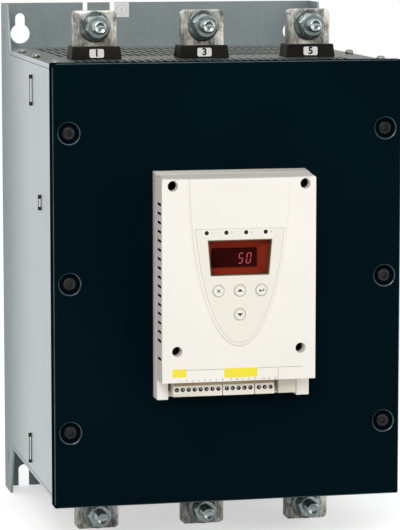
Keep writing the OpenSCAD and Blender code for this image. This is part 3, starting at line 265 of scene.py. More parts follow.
def plastic(name, colour, shade, roughness, grain=0.5, depth=0.02, gloss=0.4, patch=30.0):
    """Moulded plastic with a spark-eroded grain and a faint change of tone."""
    finish = Finish(name)
    tone = finish.noise(patch, 3.0)
    speck = finish.noise(grain, 2.0)
    return finish.done(
        Base_Color=finish.mix((tone * 0.8 + speck * 0.2).ramp(0.3, 0.72), shade, colour),
        Roughness=speck * 0.12 + tone * 0.06 + (roughness - 0.09),
        Normal=finish.bump(speck, depth),
        Specular_IOR_Level=gloss,
    )


def metal(name, dark, light, roughness, sizes=(9, 9, 9), depth=0.02, metallic=1.0):
    """Plated or drawn metal whose marks have the given sizes along X, Y and Z."""
    finish = Finish(name)
    mark = finish.noise(sizes, 4.0)
    stain = finish.noise(14, 3.0)
    return finish.done(
        Base_Color=finish.mix((mark * 0.6 + stain * 0.4).ramp(0.32, 0.68), dark, light),
        Metallic=metallic,
        Roughness=mark * 0.16 + stain * 0.1 + (roughness - 0.13),
        Normal=finish.bump(mark, depth),
    )


def tinned_copper():
    """Tinned bars: brushed along their length, with cloudy grey and warm patches."""
    finish = Finish("tinned_copper")
    brush = finish.noise((1.3, 1.3, 9), 5.0, 0.7)
    cloud = finish.noise((8, 8, 10), 4.0, 0.6)
    warm = finish.noise(19, 2.0)
    tone = (brush * 0.4 + cloud * 0.6).ramp(0.36, 0.64)
    grey = finish.mix(tone, rgb(98, 100, 96), rgb(236, 234, 225))
    return finish.done(
        Base_Color=finish.mix(warm.ramp(0.45, 0.75) * 0.4, grey, rgb(190, 172, 140)),
        Metallic=0.88,
        Roughness=brush * 0.2 + cloud * 0.16 + 0.2,
        Normal=finish.bump(brush, 0.05, 0.7),
    )


def cover_paint():
    """Dark petrol powder coat with a fine orange peel."""
    finish = Finish("cover_paint")
    peel = finish.noise(1.1, 2.0)
    broad = finish.noise(140, 2.0)
    return finish.done(
        Base_Color=finish.mix(broad.ramp(0.3, 0.7), rgb(3, 19, 24), rgb(5, 22, 28)),
        Roughness=peel * 0.08 + broad * 0.05 + 0.4,
        Normal=finish.bump(peel, 0.012, 0.6),
        Specular_IOR_Level=0.0,
    )


def printed(name, colour, roughness=0.5):
    """Ink or a paper label, with a slight unevenness."""
    finish = Finish(name)
    fleck = finish.noise(0.6, 2.0)
    return finish.done(
        Base_Color=finish.mix(fleck.ramp(0.35, 0.65), dimmed(colour, 0.93), colour),
        Roughness=fleck * 0.1 + (roughness - 0.05),
        Specular_IOR_Level=0.3,
    )


def circuit_board():
    """Green solder mask with copper tracks that show through it."""
    finish = Finish("circuit_board")
    cell = finish.node(
        "ShaderNodeTexVoronoi",
        {"distance": "MANHATTAN"},
        {"Vector": finish.grid((9, 400, 6)), "Scale": 1.0},
        "Distance",
    )
    tracks = (cell * 9).math("FRACT", cell * 9) > 0.55
    cloud = finish.noise(22, 2.0)
    mask = finish.mix(cloud, rgb(22, 70, 40), rgb(34, 92, 54))
    return finish.done(
        Base_Color=finish.mix(tracks * 0.5, mask, rgb(70, 128, 76)),
        Roughness=cloud * 0.15 + 0.28,
        Normal=finish.bump(tracks, 0.035),
    )


def banded(name, first, second, pitch, axis, roughness, metallic=0.0):
    """Layers or windings at a steady pitch along one axis."""
    finish = Finish(name)
    along = finish.axes()["XYZ".index(axis)] * (1 / (pitch * MM))
    wave = abs(along.math("FRACT", along) - 0.5) * 2
    cloud = finish.noise(8, 3.0)
    return finish.done(
        Base_Color=finish.mix(wave * 0.75 + cloud * 0.25, first, second),
        Metallic=metallic,
        Roughness=cloud * 0.2 + (roughness - 0.1),
        Normal=finish.bump(wave, pitch * 0.25),
    )


def lit(name, colour, strength):
    """A lamp segment that glows behind its lens."""
    finish = Finish(name)
    core = finish.noise(1.6, 1.0)
    bright = finish.mix(core.ramp(0.2, 0.8), dimmed(colour, 0.8), colour)
    return finish.done(
        Base_Color=bright,
        Roughness=core * 0.1 + 0.35,
        Emission_Color=bright,
        Emission_Strength=strength,
    )


def finishes(kind, table):
    """Finishes of one kind; each row holds two colours and the kind's other values."""
    return {
        name: kind(name, rgb(*first), rgb(*second), *rest)
        for name, (first, second, *rest) in table.items()
    }


FINISHES = {
    # galvanised_steel's rear colour is painted shade: the rear plate and the back of the sides darker than the
    # front
    "galvanised_steel": galvanised(
        "galvanised_steel", rgb(203, 211, 213), rgb(219, 226, 228), rgb(159, 170, 172), 0.42
    ),
    # slotted_steel's front colours are a painted dark reflection near the cover, darker than its rear colour
    "slotted_steel": galvanised(
        "slotted_steel", rgb(84, 91, 86), rgb(108, 114, 108), rgb(150, 156, 152), 0.45
    ),
    "cover_paint": cover_paint(),
    "tinned_copper": tinned_copper(),
    "circuit_board": circuit_board(),
}
FINISHES |= finishes(metal, {
    "cover_screw_steel": ((34, 33, 34), (58, 56, 57), 0.42, (9, 9, 9), 0.02, 0.7),
    "zinc_screws": ((132, 132, 124), (168, 168, 158), 0.32, (2, 2, 2), 0.006),
    "zinc_hardware": ((146, 158, 157), (186, 197, 196), 0.2, (5, 5, 5), 0.003),
    "sink_aluminium": ((150, 152, 154), (188, 190, 192), 0.42, (1.2, 1.2, 60), 0.03),
    "contact_copper": ((176, 100, 66), (222, 148, 108), 0.3, (1.5, 1.5, 22)),
})
FINISHES |= finishes(plastic, {
    "shroud_plastic": ((34, 31, 29), (25, 23, 21), 0.5, 0.9, 0.03, 0.12),
    "module_plastic": ((249, 245, 237), (245, 241, 232), 0.5, 0.45, 0.012, 0.35, 60),
    "film": ((243, 239, 228), (240, 236, 223), 0.44, 0.3, 0.006, 0.3, 45),
    "display_black": ((56, 14, 14), (45, 11, 12), 0.4, 0.6, 0.006, 0.0),
    "red_window": ((146, 48, 28), (128, 38, 21), 0.35, 0.6, 0.004, 0.04),
    "lamp_plastic": ((16, 15, 15), (10, 10, 10), 0.22, 1.0, 0.002),
    "key_plastic": ((244, 241, 233), (240, 237, 228), 0.42, 0.4, 0.008, 0.35),
    "plug_plastic": ((246, 242, 230), (240, 235, 221), 0.45, 0.5, 0.012),
    "socket_plastic": ((226, 219, 204), (218, 211, 196), 0.5, 0.5, 0.015),
    "thyristor_case": ((58, 60, 62), (46, 48, 50), 0.5, 0.8, 0.03),
    "transformer_resin": ((36, 46, 62), (28, 37, 52), 0.45, 0.8, 0.03),
    "fan_plastic": ((34, 34, 35), (26, 26, 27), 0.45, 0.8, 0.03),
    "carrier_plastic": ((148, 44, 34), (132, 38, 30), 0.45, 0.8, 0.03),
    "transformer_case": ((40, 62, 96), (32, 52, 84), 0.4, 0.8, 0.03),
    "switch_plastic": ((44, 44, 46), (36, 36, 38), 0.45, 0.8, 0.02),
})
FINISHES |= finishes(banded, {
    "core_steel": ((92, 92, 94), (150, 150, 152), 1.0, "X", 0.4, 0.9),
    "coil_winding": ((110, 46, 18), (190, 98, 48), 0.8, "Y", 0.35, 0.7),
    "cable_sheath": ((112, 116, 120), (160, 164, 168), 1.27, "X", 0.5),
})
LABEL = printed("white_label", rgb(250, 249, 247), 0.45)
INK = printed("black_ink", rgb(26, 25, 25), 0.5)
GREY_INK = printed("grey_ink", rgb(140, 134, 125), 0.5)
RING_INK = printed("ring_ink", rgb(178, 172, 162), 0.5)
PALE_INK = printed("pale_ink", rgb(206, 200, 188), 0.5)
DISC_INK = printed("disc_ink", rgb(250, 249, 245), 0.45)
YELLOW = printed("yellow_label", rgb(254, 236, 62), 0.4)
BEZEL = plastic("display_frame", rgb(112, 98, 74), rgb(84, 72, 54), 0.4, 0.5, 0.01)
TAN = plastic("plug_latch", rgb(182, 160, 130), rgb(156, 134, 104), 0.5, 0.6, 0.03)
# painted shade: a dark grey for the line of shade under the side panels' bends
FOLD_SHADE = plastic("seam_shadow", rgb(104, 110, 112), rgb(92, 98, 100), 0.6, 0.6, 0.01, 0.2)
# painted highlight: a near-white for lit edges, on the side panels' bridges and the clamp screws' slots
PAINTED_HIGHLIGHT = plastic("painted_highlight", rgb(236, 238, 236), rgb(222, 225, 224), 0.4, 0.6, 0.004, 0.3)
# painted shade: a dark brown for the shade in bores, wells and gaps
BORE_SHADE = plastic("bore_shadow", rgb(52, 44, 38), rgb(40, 34, 29), 0.7, 0.6, 0.01, 0.1)
# painted shade: a near-black for the deepest shade, in the module's vents and round the clamp screws
DEEP_SHADE = plastic("deep_shadow", rgb(15, 14, 13), rgb(9, 9, 8), 0.8, 0.6, 0.005, 0.0)
# painted highlight: a lighter metal for the cover's bends and cup rims
PAINTED_SHEEN = metal("bend_sheen", rgb(70, 84, 90), rgb(96, 110, 116), 0.3, (3, 3, 3), 0.004, 0.9)
SEGMENT = lit("lit_segment", rgb(158, 52, 64), 0.6)
DARK_SEGMENT = plastic("dark_segment", rgb(57, 15, 16), rgb(50, 12, 13), 0.4, 0.6, 0.003, 0.0)
# partly painted shade: zinc, but darker than the nuts, standing in for the dark gaps between the washers and
# the nut
WASHER_SHADED = metal("washer_zinc_shaded", rgb(104, 114, 112), rgb(146, 156, 152), 0.26, (4, 4, 4), 0.004)


# Mesh building


def front(u, v, w):
    """An outline in X and Z, raised along the depth."""
    return at(u, w, v)


def plan(u, v, w):
    """An outline in X and depth, raised along Z."""
    return at(u, v, w)


def side(u, v, w):
    """An outline in depth and Z, raised along X."""
    return at(w, u, v)


def ring(u, v, radius, steps=40, turn=0.0):
    angles = [turn + math.tau * i / steps for i in range(steps)]
    return [(u + radius * math.cos(a), v + radius * math.sin(a)) for a in angles]


def oblong(u0, u1, v0, v1, radius=0.0, steps=5):
    """A rectangle, with its corners rounded where a radius is given."""
    if not radius:
        return [(u0, v0), (u1, v0), (u1, v1), (u0, v1)]
    loop = []
    left, right, low, high = u0 + radius, u1 - radius, v0 + radius, v1 - radius
    for quarter, (u, v) in enumerate([(right, low), (right, high), (left, high), (left, low)]):
        for i in range(steps + 1):
            angle = math.pi / 2 * (quarter - 1 + i / steps)
            loop.append((u + radius * math.cos(angle), v + radius * math.sin(angle)))
    return loop


def face(bm, loops, place, w):
    """A flat face at w; the first loop is its outline and the others are its holes."""
    verts = [bm.verts.new(place(u, v, w)) for loop in loops for u, v in loop]
    flat = [[Vector((u, v, 0)) for u, v in loop] for loop in loops]
    for triangle in tessellate_polygon(flat):
        bm.faces.new([verts[i] for i in triangle])


def wall(bm, loop, place, w0, w1, second=None):
    """The wall along a loop between two levels."""
    near, far = (
        [bm.verts.new(place(u, v, w)) for u, v in points]
        for points, w in ((loop, w0), (second or loop, w1))
    )
    for i in range(len(loop)):
        j = (i + 1) % len(loop)
        bm.faces.new((near[i], near[j], far[j], far[i]))


def prism(bm, loops, place, w0, w1):
    """A closed prism whose first loop is its outline and whose others are holes."""
    face(bm, loops, place, w0)
    face(bm, loops, place, w1)
    for loop in loops:
        wall(bm, loop, place, w0, w1)


def lathe(bm, profile, place, u=0.0, v=0.0, steps=40, turn=0.0):
    """Turns (radius, w) pairs about the line through (u, v)."""
    rows = []
    for radius, w in profile:
        points = ring(u, v, radius, steps, turn) if radius else [(u, v)]
        rows.append([bm.verts.new(place(a, b, w)) for a, b in points])
    for low, high in zip(rows, rows[1:]):
        for i in range(steps):
            j = (i + 1) % steps
            corners = [low[i % len(low)], low[j % len(low)], high[j % len(high)], high[i % len(high)]]
            bm.faces.new(list(dict.fromkeys(corners)))


def tidy(bm):
    bmesh.ops.remove_doubles(bm, verts=bm.verts, dist=1e-6)
    flat = [f for f in bm.faces if f.calc_area() < 1e-12]
    bmesh.ops.delete(bm, geom=flat, context="FACES_ONLY")
    bmesh.ops.dissolve_limit(
        bm, angle_limit=math.radians(0.5), verts=bm.verts, edges=bm.edges, delimit={"NORMAL"}
    )
    bmesh.ops.recalc_face_normals(bm, faces=bm.faces)


def make(name, bm, *materials):
    """An object from a mesh under construction."""
    mesh = bpy.data.meshes.new(name)
    bm.to_mesh(mesh)
    bm.free()
    for material in materials:
        mesh.materials.append(material)
    return link(name, mesh)


def evaluated(made):
    """The mesh that an object has after its modifiers."""
    graph = bpy.context.evaluated_depsgraph_get()
    return bpy.data.meshes.new_from_object(made.evaluated_get(graph), depsgraph=graph)


def settle(made):
    """Turns an object with modifiers into one with a plain mesh."""
    mesh = evaluated(made)
    made.modifiers.clear()
    made.data = mesh
    return made


def soften(made, width, segments=2, weighted=False, angle=32):
    """Rounds an object's edges, all sharp ones or those with a weight, and keeps its faces flat."""
    made.data.polygons.foreach_set("use_smooth", [True] * len(made.data.polygons))
    bevel = made.modifiers.new("edges", "BEVEL")
    bevel.width = width * MM
    bevel.segments = segments
    bevel.limit_method = "WEIGHT" if weighted else "ANGLE"
    bevel.angle_limit = math.radians(angle)
    bevel.use_clamp_overlap = False
    bevel.harden_normals = not weighted
    bevel.miter_outer = "MITER_ARC"
    settle(made)
    if weighted:
        smooth(made, 40)
        flat = made.modifiers.new("flat faces", "WEIGHTED_NORMAL")
        flat.keep_sharp = True
        settle(made)
    return made


def smooth(made, angle=35):
    made.data.polygons.foreach_set("use_smooth", [True] * len(made.data.polygons))
    made.data.set_sharp_from_angle(angle=math.radians(angle))
    return made


def cut(made, cutter, operation="DIFFERENCE"):
    """Cuts one scratch object with another, which is then removed."""
    knife = made.modifiers.new("cut", "BOOLEAN")
    knife.operation = operation
    knife.object = cutter
    knife.solver = "EXACT"
    settle(made)
    bpy.data.objects.remove(cutter)
    return made


def fit(made, *nodes, body="case", slot=None):
    """Hands a finished piece to the frame."""
    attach(made, body)
    if nodes:
        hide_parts(*nodes)
    return made


def piece(name, bm, material, *nodes, body="case", slot=None):
    """A piece with flat faces, handed to the frame as it is."""
    tidy(bm)
    return fit(make(name, bm, material), *nodes, body=body, slot=slot)


def node_copy(node):
    """A merged copy of a CAD node's mesh under construction."""
    bm = bmesh.new()
    bm.from_mesh(frame["nodes"][node].data)
    tidy(bm)
    return bm


def weigh(bm, rule):
    """Gives each sharp edge the weight that rule(first end, second end) returns, ends in mm."""
    layer = bm.edges.layers.float.new("bevel_weight_edge")
    for edge in bm.edges:
        if len(edge.link_faces) == 2 and edge.calc_face_angle(0) > math.radians(32):
            ends = [(v.co.x / MM, -v.co.y / MM, v.co.z / MM) for v in edge.verts]
            edge[layer] = rule(*ends)


def dressed(name, node, slot, width, segments=2, rule=None):
    """A node's own shape with rounded edges and its finish."""
    bm = node_copy(node)
    if rule:
        weigh(bm, rule)
    made = make(name, bm, FINISHES[slot])
    soften(made, width, segments, rule is not None)
    return fit(made, node, slot=slot)


# Geometry Nodes


class Tree(Nodes):
    """A Geometry Nodes tree with named inputs, which ends in Realize Instances and Set Material."""

    def __init__(self, name, inputs):
        self.tree = bpy.data.node_groups.new(name, "GeometryNodeTree")
        face_of = self.tree.interface
        face_of.new_socket(name="Geometry", in_out="INPUT", socket_type="NodeSocketGeometry")
        face_of.new_socket(name="Geometry", in_out="OUTPUT", socket_type="NodeSocketGeometry")
        self.names = {}
        for label, kind in {**inputs, "Finish": "Material"}.items():
            made = face_of.new_socket(name=label, in_out="INPUT", socket_type="NodeSocket" + kind)
            self.names[label] = made.identifier
        self.start = self.tree.nodes.new("NodeGroupInput")

    def given(self, label):
        return Value(self, self.start.outputs[label])

    def shape(self, label):
        """The shape of the object that an input names."""
        return self.node(
            "GeometryNodeObjectInfo",
            {"transform_space": "ORIGINAL"},
            {"Object": self.given(label)},
            "Geometry",
        )

    def close(self, geometry):
        real = self.node("GeometryNodeRealizeInstances", {}, {"Geometry": geometry})
        finished = self.node(
            "GeometryNodeSetMaterial", {}, {"Geometry": real, "Material": self.given("Finish")}
        )
        end = self.tree.nodes.new("NodeGroupOutput")
        self.tree.links.new(finished.socket, end.inputs[0])
        return self

    def grow(self, made, **values):
        """Runs the tree on an object and leaves a plain mesh."""
        modifier = made.modifiers.new("grow", "NODES")
        modifier.node_group = self.tree
        for label, value in values.items():
            modifier[self.names[label.replace("_", " ")]] = value
        return settle(made)


def copies_tree():
    """A shape at each point, turned about its own depth axis by a random angle."""
    tree = Tree("copies", {"Shape": "Object", "Turn": "Float", "Seed": "Int"})
    angle = tree.node(
        "FunctionNodeRandomValue",
        {"data_type": "FLOAT"},
        {2: tree.given("Turn") * -1, 3: tree.given("Turn"), "Seed": tree.given("Seed")},
        1,
    )
    spin = tree.node("ShaderNodeCombineXYZ", {}, {"Y": angle})
    flip = tree.node("GeometryNodeInputNamedAttribute", {"data_type": "FLOAT_VECTOR"}, {"Name": "flip"})
    turn = tree.node("ShaderNodeVectorMath", {"operation": "ADD"}, {0: spin, 1: flip})
    return tree.close(
        tree.node(
            "GeometryNodeInstanceOnPoints",
            {},
            {"Points": tree.given("Geometry"), "Instance": tree.shape("Shape"), "Rotation": turn},
        )
    )


def row_tree():
    """A row of one shape at a steady pitch, joined to what it stands on."""
    tree = Tree("row", {"Shape": "Object", "Count": "Int", "Start": "Vector", "Pitch": "Vector"})
    line = tree.node(
        "GeometryNodeMeshLine",
        {"mode": "OFFSET"},
        {"Count": tree.given("Count"), "Start Location": tree.given("Start"), "Offset": tree.given("Pitch")},
    )
    row = tree.node(
        "GeometryNodeInstanceOnPoints", {}, {"Points": line, "Instance": tree.shape("Shape")}
    )
    joined = tree.tree.nodes.new("GeometryNodeJoinGeometry")
    for part in (row, tree.given("Geometry")):
        tree.tree.links.new(part.socket, joined.inputs[0])
    return tree.close(Value(tree, joined.outputs[0]))


def punched_tree():
    """A plate with a row of slots punched at each of its marked depths."""
    tree = Tree(
        "punched", {"Slot": "Object", "Rows": "Object", "Columns": "Int", "Pitch": "Float"}
    )
    step = tree.node("ShaderNodeCombineXYZ", {}, {"X": tree.given("Pitch")})
    first = tree.node(
        "ShaderNodeCombineXYZ", {}, {"X": tree.given("Pitch") * (tree.given("Columns") - 1) * -0.5}
    )
    line = tree.node(
        "GeometryNodeMeshLine",
        {"mode": "OFFSET"},
        {"Count": tree.given("Columns"), "Start Location": first, "Offset": step},
    )
    rows = tree.node("GeometryNodeInstanceOnPoints", {}, {"Points": tree.shape("Rows"), "Instance": line})
    points = tree.node("GeometryNodeRealizeInstances", {}, {"Geometry": rows})
    slots = tree.node(
        "GeometryNodeInstanceOnPoints", {}, {"Points": points, "Instance": tree.shape("Slot")}
    )
    tools = tree.node("GeometryNodeRealizeInstances", {}, {"Geometry": slots})
    return tree.close(
        tree.node(
            "GeometryNodeMeshBoolean",
            {"operation": "DIFFERENCE", "solver": "EXACT"},
            {"Mesh 1": tree.given("Geometry"), "Mesh 2": tools},
        )
    )


COPIES, ROW, PUNCHED = copies_tree(), row_tree(), punched_tree()


def scratch(bm, name="scratch"):
    """A shape that only a tree or a cut uses."""
    tidy(bm)
    return make(name, bm)


def place_copies(name, shape, places, slot, turn=0.0, seed=0, flips=None):
    """Copies of a shape at (x, d, z) places, made by the tree."""
    mesh = bpy.data.meshes.new(name)
    mesh.from_pydata([at(*p) for p in places], [], [])
    flip = mesh.attributes.new("flip", "FLOAT_VECTOR", "POINT")
    for item, value in zip(flip.data, flips or [(0, 0, 0)] * len(places)):
        item.vector = value
    made = link(name, mesh)
    material = FINISHES[slot] if isinstance(slot, str) else slot
    COPIES.grow(made, Shape=shape, Turn=turn, Seed=seed, Finish=material)
    bpy.data.objects.remove(shape)
    return made


def text_mesh(bm, words, size, place, u, v, w, thickness=0.08, bold=0.0):
    """Raised lettering centred at (u, v), from the built-in typeface."""
    curve = bpy.data.curves.new("words", "FONT")
    curve.body = words
    curve.size = size
    curve.align_x, curve.align_y = "CENTER", "CENTER"
    curve.extrude = thickness / 2
    curve.offset = bold
    curve.resolution_u = 3
    made = link("words", curve)
    mesh = evaluated(made)
    bpy.data.objects.remove(made)
    for vertex in mesh.vertices:
        x, y, z = vertex.co
        vertex.co = place(u + x, v + y, w + z)
    bm.from_mesh(mesh)


# Case

case = Span("chassis")
rear_sheet = 2.0
case_top = Span("top_panel").z1
case_bottom = Span("bottom_panel").z0


def chassis_edges(a, b):
    """Wide bends along the folds, and a fine break on every cut edge."""
    upright = abs(a[0] - b[0]) < 0.1 and abs(a[1] - b[1]) < 0.1
    outside = abs(abs(a[0]) - case.x1) < 0.1
    return 1.0 if upright and outside and (a[1] < 0.1 or a[1] > case.d1 - 0.1) else 0.14


dressed("chassis_sheet", "chassis", "galvanised_steel", 1.8, 4, chassis_edges)

panel_screws = Span("panel_screws")
vents = {"width": 3.6, "length": 41.0, "pitch": 6.9, "columns": 35, "rows": (25, 72, 119, 213)}
bars = [Span("line_bar_%d" % i) for i in (1, 2, 3)]
screw_depths = [share * case.d1 for share in (0.29, 0.56, 0.905)]
PAN_D, PAN_H, PAN_SHANK = 7.5, 3.75, 4.0
panel_screw_x = panel_screws.x1 - PAN_D / 2


def slotted_panel(name, node, z, up):
    """A plate with its lip, in which the tree punches the air slots."""
    box = Span(node)
    sheet, lip, lip_x = 1.5, 14.0, 123.2
    bar_t, play = 10, 2.1
    bm = bmesh.new()
    holes = [
        oblong(bar.x0 - play, bar.x1 + play, bar.d1 - bar_t - play, bar.d1 + play, 1.0, 3)
        for bar in bars
    ] + [ring(s * panel_screw_x, d, PAN_SHANK / 2 + 0.3, 20) for s in (-1, 1) for d in screw_depths]
    prism(bm, [oblong(box.x0, box.x1, box.d0, box.d1), *holes], plan, z - up * sheet, z)
    prism(bm, [oblong(-lip_x, lip_x, box.d1 - sheet, box.d1)], plan, z - up * lip, z - up * sheet)
    tidy(bm)
    made = make(name, bm, FINISHES["slotted_steel"])
    reach, half = vents["length"] / 2, vents["width"] / 2
    slot = bmesh.new()
    loop = [
        (half * math.cos(a), s * (reach - half) + half * math.sin(a))
        for s, start in ((1, 0), (-1, math.pi))
        for a in [start + math.pi * i / 6 for i in range(7)]
    ]
    prism(slot, [loop], lambda u, v, w: Vector((u * MM, v * MM, w * MM)), -3, 3)
    tool = scratch(slot, "slot")
    rows = bpy.data.meshes.new("rows")
    rows.from_pydata([at(0, d + reach, z) for d in vents["rows"]], [], [])
    marks = link("rows", rows)
    PUNCHED.grow(
        made, Slot=tool, Rows=marks, Columns=vents["columns"], Pitch=vents["pitch"] * MM,
        Finish=FINISHES["slotted_steel"],
    )
    for used in (tool, marks):
        bpy.data.objects.remove(used)
    smooth(made)
    return fit(made, node, slot="slotted_steel")


slotted_panel("top_panel_sheet", "top_panel", case_top, 1)
slotted_panel("bottom_panel_sheet", "bottom_panel", case_bottom, -1)


def cross_recess(made, reach, width, top, depth):
    """Cuts a tapered cross into a screw's head, one bar after the other."""
    for half in ((width, reach), (reach, width)):
        tool = bmesh.new()
        wide = oblong(-half[0], half[0], -half[1], half[1])
        tip = oblong(-half[0] * 0.6, half[0] * 0.6, -half[1] * 0.6, half[1] * 0.6)
        face(tool, [wide], front, top + 0.5)
        face(tool, [tip], front, top - depth)
        wall(tool, wide, front, top + 0.5, top - depth, tip)
        cut(made, scratch(tool, "tool"))
    return smooth(made)


def pan_screw():
    """A pan head with a cross recess; its axis runs along the depth."""
    bm = bmesh.new()
    head = PAN_D / 2
    profile = [(0, PAN_H), (head * 0.5, PAN_H * 0.98), (head * 0.74, PAN_H * 0.9), (head * 0.92, PAN_H * 0.72)]
    profile += [(head, PAN_H * 0.46), (head, PAN_H * 0.16), (head * 0.96, 0), (PAN_SHANK / 2, 0)]
    profile += [(PAN_SHANK / 2, -7.6), (PAN_SHANK / 2 - 0.4, -8.0), (0, -8.0)]
    lathe(bm, profile, front, steps=28)
    return cross_recess(scratch(bm), 1.8, 0.42, PAN_H, 1.5)


quarter = math.pi / 2
screw_places, screw_flips = [], []
for s in (-1, 1):
    for d in screw_depths:
        for z, flip in ((case_top, -quarter), (case_bottom, quarter)):
            screw_places.append((s * panel_screw_x, d, z))
            screw_flips.append((flip, 0, 0))
fit(
    place_copies("panel_screw_set", pan_screw(), screw_places, "zinc_screws", 0.0, 3, screw_flips),
    "panel_screws",
    slot="zinc_screws",
)


BRIDGES = ((0.61, 0.426, 27), (0.76, 0.173, 13.5), (0.545, -0.438, 27))
BRIDGE_OUT, BRIDGE_HALF = 2.3, 2.0
SIDE_MIDDLE, SIDE_HEIGHT = 1.5, 369


def side_bridges():
    """Narrow bridges pressed out of the side panels, in a painted highlight colour, each on a dark block of
    painted shade for the gap at both ends.
    """
    gap_shades, strips = bmesh.new(), bmesh.new()
    for s in (-1, 1):
        for share, rise, length in BRIDGES:
            d, z = share * case.d1, SIDE_MIDDLE + rise * SIDE_HEIGHT
            x, reach, half = s * case.x1, length / 2 - 3.4, BRIDGE_HALF
            gap = oblong(d - half, d + half, z - length / 2, z + length / 2, half - 0.1, 5)
            prism(gap_shades, [gap], side, x - s * 1.5, x + s * BRIDGE_OUT)
            for wide, out in ((half + 0.2, BRIDGE_OUT - 0.5), (1.0, BRIDGE_OUT + 0.15)):
                strip = oblong(d - wide, d + wide, z - reach, z + reach)
                prism(strips, [strip], side, x + s * 0.65, x + s * out)
    piece("side_bridge_gaps", gap_shades, BORE_SHADE, slot="galvanised_steel")
    piece("side_bridges", strips, PAINTED_HIGHLIGHT, slot="galvanised_steel")


side_bridges()


def side_seams():
    """The shaded line under the bend along the top and foot of each side panel."""
    bm = bmesh.new()
    for s in (-1, 1):
        for z in (case_top - 3.5, case_bottom + 3.5):
            x = s * case.x1
            prism(bm, [oblong(50, case.d1 - 2, z - 0.3, z + 0.3)], side, x - s * 0.3, x + s * 0.03)
    piece("side_seams", bm, FOLD_SHADE, slot="galvanised_steel")


side_seams()


PLATE_LABEL = (-34.4, 220.4)


def plate_label():
    """A plain white label with a faint round sign, on the head of the rear plate."""
    paper, sign = bmesh.new(), bmesh.new()
    x, z = PLATE_LABEL
    sheet = oblong(x - 7.1, x + 7.1, z - 6.8, z + 6.8, 0.8)
    prism(paper, [sheet], front, rear_sheet - 0.05, rear_sheet + 0.12)
    prism(sign, [ring(x, z, 5.0, 40), ring(x, z, 4.6, 40)], front, rear_sheet, rear_sheet + 0.16)
    prism(sign, [oblong(x - 0.25, x + 0.25, z - 2.2, z + 2.2)], front, rear_sheet, rear_sheet + 0.16)
    piece("plate_label_paper", paper, LABEL, slot="galvanised_steel")
    piece("plate_label_sign", sign, PALE_INK, slot="galvanised_steel")


plate_label()


# Front cover

cover = Span("front_cover")
cover_screws = Span("cover_screws")
CUP_D, CUP_DEPTH, COVER_T = 17.0, 5.0, 2.0
cup_x = cover_screws.x1 - 5.5
cup_places = [
    (s * cup_x, z) for s in (-1, 1) for z in (cover_screws.z0 + 5.5, cover_screws.z, cover_screws.z1 - 5.5)
]
module = Span("module_shell")
base = Span("module_base")
well_places = [(s * 56.3, 88.7) for s in (-1, 1)] + [(s * 52.7, -49.3) for s in (-1, 1)]


def cover_body():
    """A folded tray with six screw cups, holes for the module's screws and a cable window."""
    bm = bmesh.new()
    outer = oblong(cover.x0, cover.x1, cover.z0, cover.z1)
    inner = oblong(cover.x0 + COVER_T, cover.x1 - COVER_T, cover.z0 + COVER_T, cover.z1 - COVER_T)
    through = [ring(x, z, 2.05, 12) for x, z in well_places] + [oblong(-20, 20, -18, -8)]
    cups = [ring(x, z, CUP_D / 2, 48) for x, z in cup_places]
    backs = [ring(x, z, CUP_D / 2 + COVER_T, 48) for x, z in cup_places]
    back = cover.d1 - COVER_T
    margin = 2.4
    within = oblong(cover.x0 + margin, cover.x1 - margin, cover.z0 + margin, cover.z1 - margin)
    collars = [ring(x, z, CUP_D / 2 + 2.6, 48) for x, z in cup_places]
    face(bm, [within, *collars, *through], front, cover.d1)
    for loop, second in ((outer, within), *zip(cups, collars)):
        wall(bm, loop, front, cover.d1, cover.d1, second)
    face(bm, [inner, *backs, *through], front, back)
    face(bm, [outer, inner], front, cover.d0)
    wall(bm, outer, front, cover.d0, cover.d1)
    wall(bm, inner, front, cover.d0, back)
    for loop in through:
        wall(bm, loop, front, back, cover.d1)
    floor = cover.d1 - CUP_DEPTH
    for x, z in cup_places:
        inside, outside, hole = CUP_D / 2, CUP_D / 2 + COVER_T, 3.3
        profile = [(inside, cover.d1), (inside, floor), (hole, floor)]
        profile += [(hole, floor - COVER_T), (outside, floor - COVER_T), (outside, back)]
        lathe(bm, profile, front, x, z, 48)
    bmesh.ops.remove_doubles(bm, verts=bm.verts, dist=1e-6)
    bmesh.ops.recalc_face_normals(bm, faces=bm.faces)

    def rule(a, b):
        corner = abs(abs(a[0]) - cover.x1) < 0.1 and abs(abs(b[0]) - cover.x1) < 0.1
        level = min(abs(a[2] - cover.z0), abs(a[2] - cover.z1)) < 0.1 and abs(a[2] - b[2]) < 0.1
        at_front = min(a[1], b[1]) > cover.d1 - 0.1
        rim = min(math.hypot(a[0] - x, a[2] - z) for x, z in cup_places) < CUP_D / 2 + 0.1
        return 1.0 if (corner and level) or (at_front and (rim or corner or level)) else 0.12

    weigh(bm, rule)
    return make("cover_sheet", bm, FINISHES["cover_paint"])


BEND = 1.7
fit(soften(cover_body(), BEND, 4, True), "front_cover", slot="cover_paint")


